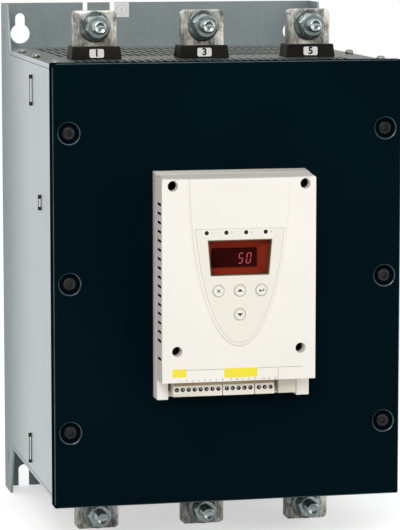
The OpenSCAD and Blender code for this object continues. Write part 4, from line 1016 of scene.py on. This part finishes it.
def bend_sheen():
    """Painted highlights: strips of a lighter metal on the cover's bends and on the rims of its cups, where
    the paint would catch the light.
    """
    bm = bmesh.new()
    out, within = BEND + 0.03, BEND - 0.15
    turns = [math.radians(a) for a in range(28, 63, 7)]
    edge = cover.d1 - BEND
    for s, level in ((-1, cover.z0), (1, cover.z1)):
        for centre, place, low, high in (
            (s * (cover.x1 - BEND), plan, cover.z0, cover.z1),
            (level - s * BEND, lambda u, v, w: at(w, v, u), cover.x0, cover.x1),
        ):
            arc = [(centre + s * out * math.sin(a), edge + out * math.cos(a)) for a in turns]
            arc += [(centre + s * within * math.sin(a), edge + within * math.cos(a)) for a in reversed(turns)]
            prism(bm, [arc], place, low + 2 * BEND, high - 2 * BEND)
    # painted highlight on each cup rim, widest at the lower right and thin at the upper left, as if lit from
    # the upper left
    for x, z in cup_places:
        rows = []
        for i in range(48):
            turn = math.tau * i / 48
            width = 0.1 + 0.9 * (0.5 + 0.5 * math.cos(turn + math.radians(55))) ** 1.2
            steps = [math.radians(20 + 68 * width * t / 5) for t in range(6)]
            profile = [(out, a) for a in steps] + [(within, a) for a in reversed(steps)]
            rows.append([
                bm.verts.new(at(
                    x + (CUP_D / 2 + BEND - r * math.sin(a)) * math.cos(turn),
                    cover.d1 - BEND + r * math.cos(a),
                    z + (CUP_D / 2 + BEND - r * math.sin(a)) * math.sin(turn),
                ))
                for r, a in profile
            ])
        for first, second in zip(rows, rows[1:] + rows[:1]):
            for j in range(len(first)):
                bm.faces.new((first[j - 1], first[j], second[j], second[j - 1]))
    tidy(bm)
    return smooth(make("bend_sheen", bm, PAINTED_SHEEN))


fit(bend_sheen(), slot="cover_paint")


def socket_screw():
    """A black cap screw with a rounded head, a hexagon socket and a groove round it."""
    bm = bmesh.new()
    head = [(0, 3.6), (4.3, 3.6), (5.0, 3.35), (5.4, 2.9), (5.5, 2.3), (5.5, 0.3), (5.3, 0.0)]
    shank = [(3.0, 0.0), (3.0, -8.0), (2.5, -8.4), (0, -8.4)]
    lathe(bm, head + shank, front, steps=40)
    made = scratch(bm)
    tool = bmesh.new()
    prism(tool, [ring(0, 0, 2.9, 6)], front, 1.4, 5)
    made = cut(made, scratch(tool, "tool"))
    groove = bmesh.new()
    prism(groove, [ring(0, 0, 4.15, 40), ring(0, 0, 3.75, 40)], front, 3.3, 5)
    return smooth(cut(made, scratch(groove, "tool")))


head_places = [(x, cover_screws.d1 - 3.6, z) for x, z in cup_places]
fit(
    place_copies("cover_screw_set", socket_screw(), head_places, "cover_screw_steel", 0.5, 5),
    "cover_screws",
    slot="cover_screw_steel",
)


# Power terminals

for i in (1, 2, 3):
    for end in ("line", "load"):
        dressed(f"{end}_bar_tinned_{i}", f"{end}_bar_{i}", "tinned_copper", 0.7, 3)
        dressed(f"{end}_shroud_moulded_{i}", f"{end}_shroud_{i}", "shroud_plastic", 0.6, 3)

bolts = Span("terminal_bolts")
bolt_z = bars[0].z1 - 13.7
bar_front = 197.0
terminals = [((bar.x0 + bar.x1) / 2, s * bolt_z) for bar in bars for s in (-1, 1)]
THREAD_PITCH = 1.75
FLATS, NUT_H, WASHER_T, SPRING_T = 19.0, 10.0, 2.5, 3.0


def chamfered_hexagon(bm, flats, w0, w1, bore=0.0):
    """A hexagon's prism with a cone's chamfer at both ends, and a bore where one is given."""
    angles = [math.tau * i / 72 for i in range(72)]
    low, wide = flats * 0.475, flats * 0.5774
    fall = (wide - low) * 0.6

    def loop(share):
        limit = low + (wide - low) * share
        flat = [flats / 2 / math.cos(a % (math.pi / 3) - math.pi / 6) for a in angles]
        return [(min(limit, f) * math.cos(a), min(limit, f) * math.sin(a)) for f, a in zip(flat, angles)]

    shares = (0, 0.25, 0.5, 0.75, 1)
    rows = [(w0 + fall * t, loop(t)) for t in shares] + [(w1 - fall * t, loop(t)) for t in reversed(shares)]
    for (a, first), (b, second) in zip(rows, rows[1:]):
        wall(bm, first, front, a, b, second)
    holes = [ring(0, 0, bore / 2, 72)] if bore else []
    for w, outline in (rows[0], rows[-1]):
        face(bm, [outline, *holes], front, w)
    for hole in holes:
        wall(bm, hole, front, w0, w1)


def bolt():
    """A hexagon bolt with a ribbed thread and a dished end."""
    bm = bmesh.new()
    tip = bolts.d1 - bar_front
    low = WASHER_T + SPRING_T + NUT_H
    seat = WASHER_T + SPRING_T
    profile = [(0, -10.0), (6.0, -10.0), (6.0, seat), (5.4, seat), (5.4, low - 0.2)]
    w = low
    while w + THREAD_PITCH < tip - 1.2:
        profile += [(5.35, w), (5.95, w + THREAD_PITCH * 0.42), (5.95, w + THREAD_PITCH * 0.58)]
        w += THREAD_PITCH
    profile += [(5.35, w), (5.9, tip - 1.3), (5.6, tip - 0.75), (5.0, tip - 0.15), (4.5, tip)]
    profile += [(4.0, tip - 0.1), (3.2, tip - 0.55), (1.8, tip - 0.8), (0, tip - 0.85)]
    lathe(bm, profile, front, steps=40)
    chamfered_hexagon(bm, FLATS, -10.0 - 7.5, -10.0)
    tidy(bm)
    return smooth(make("bolt", bm), 22)


def washers():
    """A plain washer with a split spring washer on it."""
    bm = bmesh.new()
    profile = [(6.3, 0), (13.0, 0), (13.4, 0.4), (13.5, 0.9), (13.5, 1.7), (13.2, 2.3)]
    profile += [(12.6, WASHER_T), (6.9, WASHER_T), (6.3, 2.0), (6.3, 0)]
    lathe(bm, profile, front, steps=56)
    spring = []
    for radius, angles in ((10.2, range(6, 355, 6)), (6.35, range(354, 5, -6))):
        for a in map(math.radians, angles):
            spring.append((radius * math.cos(a), radius * math.sin(a)))
    prism(bm, [spring], front, WASHER_T, WASHER_T + SPRING_T)
    tidy(bm)
    return soften(make("washers", bm), 0.35, 2)


def at_terminals(name, shape, node, turn, seed, finish="zinc_hardware"):
    places = [(x, bar_front, z) for x, z in terminals]
    made = place_copies(name, shape, places, finish, turn, seed)
    return fit(made, node, slot="zinc_hardware")


nut = bmesh.new()
chamfered_hexagon(nut, FLATS, WASHER_T + SPRING_T, WASHER_T + SPRING_T + NUT_H, 10.9)
at_terminals("terminal_nut_set", smooth(scratch(nut), 22), "terminal_nuts", 0.35, 11)
at_terminals("terminal_bolt_set", bolt(), "terminal_bolts", 0.6, 12)
at_terminals("terminal_washer_set", washers(), "terminal_washers", 1.2, 13, WASHER_SHADED)


def shroud_labels():
    """White labels with a terminal number on the shrouds' sloping front faces."""
    paper, ink = bmesh.new(), bmesh.new()
    slope = 1.2 / 11
    for index, bar in enumerate(bars):
        for s, number in ((1, 2 * index + 1), (-1, 2 * index + 2)):
            foot = case_top if s > 0 else case_bottom

            def place(u, v, w, s=s, foot=foot):
                return at(u, 205.0 + w - slope * s * (v - foot), v)

            z = foot + s * 5.2
            label = oblong(bar.x - 6.3, bar.x + 6.3, z - 3.7, z + 3.7, 1.5)
            prism(paper, [label], place, 0.0, 0.25)
            text_mesh(ink, str(number), 8.4, place, bar.x, z, 0.27, bold=0.35)
    tidy(paper)
    fit(smooth(make("shroud_label_paper", paper, LABEL)))
    fit(make("shroud_label_ink", ink, INK))


shroud_labels()


# Control module

dressed("module_base_moulding", "module_base", "module_plastic", 0.5, 2)
shield = Span("keypad_film")
display = Span("display_window")
block = Span("display_block")
SHIELD_D = module.d1
FILM_D = shield.d1
SHELL_D = SHIELD_D - 2.0
dressed("keypad_film_sheet", "keypad_film", "film", 0.08, 1, lambda a, b: 1.0)

shield_half = 42.5
shield_top = base.z1
shield_tip = -45.5
film_inset = 2.2


def shell_edges(a, b):
    """Round corners on the shell, a softer edge on the shield and fine ones at the wells."""
    sides = abs(abs(a[0]) - module.x1) < 0.05 and abs(abs(b[0]) - module.x1) < 0.05
    at_front = abs(a[1] - SHELL_D) < 0.05 and abs(b[1] - SHELL_D) < 0.05
    top = min(a[2], b[2]) > module.z1 - 3.9
    foot = max(a[2], b[2]) < module.z0 + 0.05
    if (sides and (at_front or top)) or (at_front and (foot or (top and abs(a[2] - b[2]) < 0.05))):
        return 1.0
    length = shield_top - shield_tip
    on_shield = 0.01 > max(
        abs((p[0] / shield_half) ** 2 + ((shield_top - p[2]) / length) ** 2 - 1) for p in (a, b)
    )
    if on_shield and min(a[1], b[1]) > SHIELD_D - 0.05:
        return 0.45
    well = min(math.hypot(a[0] - x, a[2] - z) for x, z in well_places) < 4.4
    return 0.25 if well and min(a[1], b[1]) > SHELL_D - 0.05 else 0.0


dressed("module_shell_moulding", "module_shell", "module_plastic", 1.3, 4, shell_edges)


module_screws = Span("module_screws")


def well_sleeves():
    """The deep shade inside the screw wells."""
    bm = bmesh.new()
    rear = module_screws.d1 - 2.0
    for x, z in well_places:
        start = SHELL_D - (12.0 if z < 0 else 9.0)
        profile = [(4.27, rear), (4.27, start), (3.9, start), (3.9, rear), (4.27, rear)]
        lathe(bm, profile, front, x, z, 32)
    tidy(bm)
    fit(smooth(make("well_sleeves", bm, BORE_SHADE)), slot="module_plastic")


VENT = {"first": 25.0, "pitch": 7.6, "height": 2.4, "length": 16.0, "count": 18, "closed": 16}


def vent_liners():
    """Painted shade: a near-black lining in the module's side vents and a sheet behind them, for the dark
    space there.
    """
    bm = bmesh.new()
    middle = (base.d1 + SHELL_D - 2.5) / 2
    for s in (-1, 1):
        inner, mouth = s * (module.x1 - 2.6), s * (module.x1 - 0.35)
        prism(bm, [oblong(318.5, 336, module.z0 + 12, shield_top - 16)], side, inner - s * 0.3, inner)
        for step in range(VENT["count"]):
            if step != VENT["closed"]:
                z = base.z1 - VENT["first"] - step * VENT["pitch"]
                reach, half = VENT["length"] / 2, VENT["height"] / 2
                sizes = [(reach - gap, half - gap) for gap in (0.02, 0.12)]
                loops = [oblong(middle - a, middle + a, z - b, z + b) for a, b in sizes]
                prism(bm, loops, side, inner, mouth)
    piece("vent_liners", bm, DEEP_SHADE, slot="module_plastic")


well_sleeves()
vent_liners()


def shield_line(inset, top, steps=40):
    """The shield's outline, drawn in by an inset and cut off at a height."""
    length = shield_top - shield_tip - inset
    half = shield_half - inset
    first = math.asin((shield_top - top) / length)
    right = []
    for i in range(steps + 1):
        angle = first + (math.pi / 2 - first) * i / steps
        right.append((half * math.cos(angle), shield_top - length * math.sin(angle)))
    return right + [(-x, z) for x, z in reversed(right[:-1])]


def film_border():
    """A fine pale grey line just inside the film's edge."""
    bm = bmesh.new()
    outer = shield_line(film_inset + 0.15, shield.z1 - 0.15)
    inner = shield_line(film_inset + 0.55, shield.z1 - 0.5)
    prism(bm, [outer, inner], front, FILM_D - 0.02, FILM_D + 0.04)
    piece("film_border_line", bm, PALE_INK, slot="film")


film_border()


def display_loop(lap, taper=2.6):
    half, z, rise = 27.5 + lap, display.z, 15.0 + lap
    return [(half, z + rise), (-half, z + rise), (-half + taper, z - rise), (half - taper, z - rise)]


def display_frame():
    bm = bmesh.new()
    prism(bm, [display_loop(-0.04), display_loop(-0.95)], front, SHELL_D - 2.45, FILM_D - 0.1)
    tidy(bm)
    return make("display_frame", bm, BEZEL)


fit(soften(display_frame(), 0.2, 2), slot="display_black")


def display_well():
    """Walls that slope from the window's frame down to the numeric display, in the red window's colour:
    painted red light, standing in for the light through the window, whose middle is left out.
    """
    bm = bmesh.new()
    back, rear = display.d0 - 0.1, block.d1 - 2.6
    outer = display_loop(1.6)
    x0, x1, z0, z1 = block.x0 - 0.3, block.x1 + 0.3, block.z0 - 0.3, block.z1 + 0.3
    hole = [(x1, z1), (x0, z1), (x0, z0), (x1, z0)]
    wall(bm, outer, front, back, rear, hole)
    wall(bm, outer, front, back - 1.0, rear - 1.0, hole)
    wall(bm, outer, front, back - 1.0, back)
    wall(bm, hole, front, rear - 1.0, rear)
    piece("display_well", bm, FINISHES["red_window"], slot="display_black")


display_well()


SEGMENTS = {"0": "abcdef", "5": "acdfg", " ": ""}


def digit_segments(bm, shown, x, z, width, height, w):
    """The chosen bars of a slanted seven-bar figure."""
    thick, gap, slant = 0.85, 0.22, 0.16
    middle = height / 2
    lines = {
        "a": ((0, height), (width, height)), "g": ((0, middle), (width, middle)), "d": ((0, 0), (width, 0)),
        "f": ((0, middle), (0, height)), "b": ((width, middle), (width, height)),
        "e": ((0, 0), (0, middle)), "c": ((width, 0), (width, middle)),
    }
    for key in shown:
        (u0, v0), (u1, v1) = lines[key]
        level, half = v0 == v1, thick / 2
        near, far = (u0 + gap, u1 - gap) if level else (v0 + gap, v1 - gap)
        run = [(near, 0), (near + half, -half), (far - half, -half)]
        run += [(far, 0), (far - half, half), (near + half, half)]
        loop = [(p, v0 + q) if level else (u0 - q, p) for p, q in run]
        prism(bm, [[(x + u + slant * v, z + v) for u, v in loop]], front, w, w + 0.15)


def numeric_display():
    """A block of four figures, of which the last two are lit."""
    bm = bmesh.new()
    prism(bm, [oblong(block.x0, block.x1, block.z0, block.z1)], front, block.d0, block.d1)
    tidy(bm)
    body = soften(make("display_block_body", bm, FINISHES["display_black"]), 0.3, 2)
    fit(body, "display_block", slot="display_black")
    glow, dark = bmesh.new(), bmesh.new()
    pitch, width, height, low = 6.8, 3.3, 8.4, 22.8
    for place, figure in enumerate("  50"):
        x = 0.2 + (place - 2) * pitch
        digit_segments(glow, SEGMENTS[figure], x, low, width, height, block.d1)
        rest = [key for key in "abcdefg" if key not in SEGMENTS[figure]]
        digit_segments(dark, rest, x, low, width, height, block.d1 - 0.1)
    piece("lit_figures", glow, SEGMENT, slot="display_black")
    piece("unlit_figures", dark, DARK_SEGMENT, slot="display_black")


numeric_display()


def window_frame():
    """The red window's rim, inside which the numeric display can be read."""
    bm = bmesh.new()
    prism(bm, [display_loop(1.8), display_loop(-1.1)], front, display.d0, display.d1)
    tidy(bm)
    return make("display_window_rim", bm, FINISHES["red_window"])


fit(soften(window_frame(), 0.15, 1), "display_window", slot="red_window")

lamps = Span("status_leds")
lamp_places = [(lamps.x0 + 1.6 + i * 16.7, lamps.z) for i in range(4)]


def lamp_lens():
    bm = bmesh.new()
    profile = [(0, 16.0), (0.9, 15.95), (1.5, 15.7), (1.77, 15.3), (1.82, 14.9), (1.82, 0.0), (0, 0.0)]
    lathe(bm, profile, front, steps=24)
    return smooth(scratch(bm))


lens_places = [(x, FILM_D - 16.0, z) for x, z in lamp_places]
fit(
    place_copies("status_lamp_set", lamp_lens(), lens_places, "lamp_plastic"),
    "status_leds",
    slot="lamp_plastic",
)


def lamp_discs():
    bm = bmesh.new()
    for x, z in lamp_places:
        prism(bm, [ring(x, z, 3.3, 32), ring(x, z, 1.9, 32)], front, FILM_D - 0.02, FILM_D + 0.03)
    piece("lamp_discs", bm, DISC_INK, slot="film")


lamp_discs()


def lamp_numbers():
    bm = bmesh.new()
    for number, (x, z) in enumerate(lamp_places, 1):
        text_mesh(bm, str(number), 2.6, front, x + 4.6, z, FILM_D + 0.02, 0.05)
    return make("lamp_numbers", bm, GREY_INK)


fit(lamp_numbers(), slot="film")


def key_mark(bm, kind, x, z, w):
    """A printed sign on a key: a triangle up or down, a cross or a return arrow."""
    if kind in ("up", "down"):
        s = 1 if kind == "up" else -1
        loop = [(x - 2.5, z - s * 0.9), (x + 2.5, z - s * 0.9), (x, z + s * 1.5)]
        prism(bm, [loop], front, w, w + 0.05)
        return
    stroke = 0.32
    lines = (
        [((-1.3, -1.2), (1.3, 1.2)), ((-1.3, 1.2), (1.3, -1.2))]
        if kind == "escape"
        else [
            ((2.0, 1.3), (2.0, -0.5)), ((2.2, -0.5), (-1.7, -0.5)),
            ((-1.9, -0.5), (-0.7, 0.4)), ((-1.9, -0.5), (-0.7, -1.4)),
        ]
    )
    for (u0, v0), (u1, v1) in lines:
        length = math.hypot(u1 - u0, v1 - v0)
        a, b = (u1 - u0) / length * stroke, (v1 - v0) / length * stroke
        loop = [
            (x + u + t * b, z + v - t * a)
            for u, v, t in ((u0, v0, 1), (u1, v1, 1), (u1, v1, -1), (u0, v0, -1))
        ]
        prism(bm, [loop], front, w, w + 0.05)


for kind in ("escape", "up", "enter", "down"):
    key = Span("key_" + kind)
    body = kind + "_key"
    bm = bmesh.new()
    rim, shoulder = 6.0, module.d1 - 2.0 - 2.5 - 0.25
    profile = [
        (radius, key.d1 - fall)
        for radius, fall in (
            (0, 0.32), (2.4, 0.28), (3.8, 0.12), (4.35, 0), (4.7, 0.08), (4.95, 0.35), (5.0, 0.8),
        )
    ]
    profile += [(5.0, shoulder), (rim, shoulder), (rim, shoulder - 1.0), (2.5, shoulder - 1.0)]
    profile += [(2.5, key.d0), (0, key.d0)]
    lathe(bm, profile, front, key.x, key.z, 48)
    tidy(bm)
    cap = smooth(make("key_cap_" + kind, bm, FINISHES["key_plastic"]))
    fit(cap, "key_" + kind, body=body, slot="key_plastic")
    ink = bmesh.new()
    loops = [ring(key.x, key.z, radius, 48) for radius in (4.62, 4.22)]
    prism(ink, loops, front, key.d1 - 0.1, key.d1 + 0.02)
    piece("key_ring_" + kind, ink, RING_INK, body=body, slot="key_plastic")
    mark = bmesh.new()
    key_mark(mark, kind, key.x, key.z, key.d1 - 0.31)
    piece("key_mark_" + kind, mark, INK, body=body, slot="key_plastic")


def module_screw():
    bm = bmesh.new()
    head = [(0, 2.6), (2.4, 2.55), (3.1, 2.25), (3.5, 1.6), (3.5, 0.2), (3.3, 0.0)]
    shank = [(2.0, 0.0), (2.0, -15.6), (1.6, -16.0), (0, -16.0)]
    lathe(bm, head + shank, front, steps=24)
    return cross_recess(scratch(bm), 1.8, 0.4, 2.6, 1.4)


well_screw_places = [(x, module_screws.d1 - 2.6, z) for x, z in well_places]
fit(
    place_copies("module_screw_set", module_screw(), well_screw_places, "zinc_hardware", 0.8, 21),
    "module_screws",
    slot="zinc_hardware",
)


# Control terminals

WAY = 5.08
plug_screw_places = []
for ways in (8, 5, 3):
    node = "plug_%d_way" % ways
    plug = Span(node)
    dressed("plug_body_%d_way" % ways, node, "plug_plastic", 0.2, 2)
    first = plug.x0 + 0.7 + WAY / 2
    centres = [first + WAY * i for i in range(ways)]
    plug_screw_places += [(x, plug.d1 - 1.1, plug.z) for x in centres]
    latch = bmesh.new()
    strip = oblong(plug.x0 + 0.25, plug.x1 - 0.25, plug.z1 - 2.3, plug.z1 + 0.35, 0.4, 3)
    prism(latch, [strip], front, plug.d1 - 3.4, plug.d1 + 0.22)
    tidy(latch)
    fit(soften(make("plug_latch_%d_way" % ways, latch, TAN), 0.25, 2), slot="plug_plastic")
    rib = bmesh.new()
    prism(rib, [oblong(-0.24, 0.24, -5.9, 3.2, 0.15, 2)], front, 0, 0.3)
    shape = scratch(rib, "rib")
    ribs = link("plug_ribs_%d_way" % ways, bpy.data.meshes.new("ribs"))
    ROW.grow(
        ribs, Shape=shape, Count=ways - 1, Start=at(first + WAY / 2, plug.d1 - 0.1, plug.z),
        Pitch=(WAY * MM, 0, 0), Finish=FINISHES["plug_plastic"],
    )
    bpy.data.objects.remove(shape)
    fit(smooth(ribs), slot="plug_plastic")


def clamp_screw():
    """A round clamp screw with a wide slot."""
    bm = bmesh.new()
    lathe(bm, [(0, 0.9), (0.95, 0.88), (1.12, 0.7), (1.16, 0.0), (0, 0.0)], front, steps=20)
    made = scratch(bm)
    tool = bmesh.new()
    prism(tool, [oblong(-3, 3, -0.36, 0.36)], front, 0.1, 2)
    return smooth(cut(made, scratch(tool, "tool")))


def clamp_sleeve():
    """Painted shade: a dark ring for the bore round a clamp screw."""
    bm = bmesh.new()
    lathe(bm, [(1.78, 0), (1.78, 1.12), (1.2, 1.12), (1.2, 0), (1.78, 0)], front, steps=20)
    return smooth(scratch(bm))


def clamp_glint():
    """The lit edge of a clamp screw's slot."""
    bm = bmesh.new()
    prism(bm, [oblong(-0.9, 0.9, -0.62, -0.2)], front, 0.6, 0.94)
    return scratch(bm)


# painted shade: the clamp screws take the black cover-screw steel, which stands in for the shade in their deep
# bores
for name, shape, finish in (
    ("clamp_screw_set", clamp_screw, "cover_screw_steel"),
    ("clamp_glint_set", clamp_glint, PAINTED_HIGHLIGHT),
):
    made = place_copies(name, shape(), plug_screw_places, finish, 3.1, 31)
    fit(made, slot="zinc_hardware")
fit(place_copies("clamp_sleeve_set", clamp_sleeve(), plug_screw_places, DEEP_SHADE), slot="plug_plastic")
dressed("network_socket_body", "comm_socket", "socket_plastic", 0.25, 2)


YELLOW_PATCHES = ((-56.8, -45.1, -70.7, -63.9), (-12.9, 15.5, -72.3, -64.4))
RULED_LINES = ((-45, -13.2, -65.1, -64.8), (15.8, 54.8, -65.1, -64.8), (33.25, 33.55, -75, -66))


def terminal_print():
    """Plain yellow patches, ruled lines and way numbers over the control terminals."""
    patches, rules, numbers = bmesh.new(), bmesh.new(), bmesh.new()
    for x0, x1, z0, z1 in YELLOW_PATCHES:
        prism(patches, [oblong(x0, x1, z0, z1, 0.4, 3)], front, SHELL_D - 0.05, SHELL_D + 0.12)
    for x0, x1, z0, z1 in RULED_LINES:
        prism(rules, [oblong(x0, x1, z0, z1)], front, SHELL_D - 0.05, SHELL_D + 0.04)
    for number, (x, _, _) in enumerate(plug_screw_places, 1):
        text_mesh(numbers, str(number), 2.4, front, x, -73.9, SHELL_D + 0.02, 0.06)
    piece("yellow_patches", patches, YELLOW, slot="module_plastic")
    piece("ruled_lines", rules, GREY_INK, slot="module_plastic")
    fit(make("way_numbers", numbers, GREY_INK), slot="module_plastic")


terminal_print()


# Nodes that keep their own shape

for entry in frame["record"]["subparts"]:
    for socket in frame["nodes"][entry["node"]].material_slots:
        socket.material = FINISHES[entry["material_slot"]]


# Floor, world and lamps


class World(Nodes):
    def __init__(self, world):
        world.use_nodes = True
        self.tree = world.node_tree
        self.tree.nodes.clear()


def floor():
    """A pale floor that shows white to the camera but keeps the object's shadow."""
    bm = bmesh.new()
    face(bm, [oblong(-9000, 9000, -9000, 9000, 400)], plan, case.z0 - 0.5)
    made = make("floor", bm)
    finish = Finish("pale_floor")
    tone = finish.noise(900, 2.0)
    seen = finish.node("ShaderNodeLightPath", output="Is Camera Ray")
    mirrored = finish.read(seen, "Is Glossy Ray").top(finish.read(seen, "Is Transmission Ray"))
    rays = seen * 0.55 + mirrored * 0.22
    pale = finish.mix(tone, rgb(242, 242, 241), rgb(245, 245, 244))
    matt = finish.node("ShaderNodeBsdfDiffuse", {}, {"Color": pale})
    glow = finish.node("ShaderNodeEmission", {}, {"Color": (1, 1, 1, 1), "Strength": rays})
    both = finish.node("ShaderNodeAddShader", {}, {0: matt, 1: glow})
    finish.node("ShaderNodeOutputMaterial", {}, {"Surface": both})
    made.data.materials.append(finish.material)


floor()

world = bpy.data.worlds.new("studio")
scene.world = world
studio = World(world)
direction = studio.node("ShaderNodeTexCoord", output="Generated")
split = studio.node("ShaderNodeSeparateXYZ", {}, {"Vector": direction})
to_wall = studio.read(split, "Y").ramp(-0.85, 0.1)
path = studio.node("ShaderNodeLightPath", output="Is Camera Ray")
mirrored = studio.read(path, "Is Glossy Ray").top(studio.read(path, "Is Transmission Ray"))
AMBIENT, FRONT_SHADE = 0.5, 0.22
ceiling = studio.read(split, "Z").ramp(0.25, 0.6)
left_box = (studio.read(split, "X") * -1).ramp(0.45, 0.8) * 0.5
sheen = mirrored * (to_wall * (1 - FRONT_SHADE) + FRONT_SHADE).top(ceiling).top(left_box)
level = path + sheen + (1 - path.top(mirrored)) * AMBIENT
background = studio.node("ShaderNodeBackground", {}, {"Color": (1, 1, 1, 1), "Strength": level})
studio.node("ShaderNodeOutputWorld", {}, {"Surface": background})


def lamp(name, place, aim, size, power):
    data = bpy.data.lights.new(name, "AREA")
    data.shape = "DISK"
    data.size = size
    data.energy = power
    made = link(name, data)
    made.location = place
    made.rotation_euler = (Vector(aim) - Vector(place)).to_track_quat("-Z", "Y").to_euler()


lamp("key_lamp", (-0.9, -2.9, 1.5), (0, -0.2, 0), 1.2, 34)
lamp("fill_lamp", (1.8, -2.2, 0.6), (0, -0.2, 0), 1.6, 12)

scene.view_settings.view_transform = "Standard"
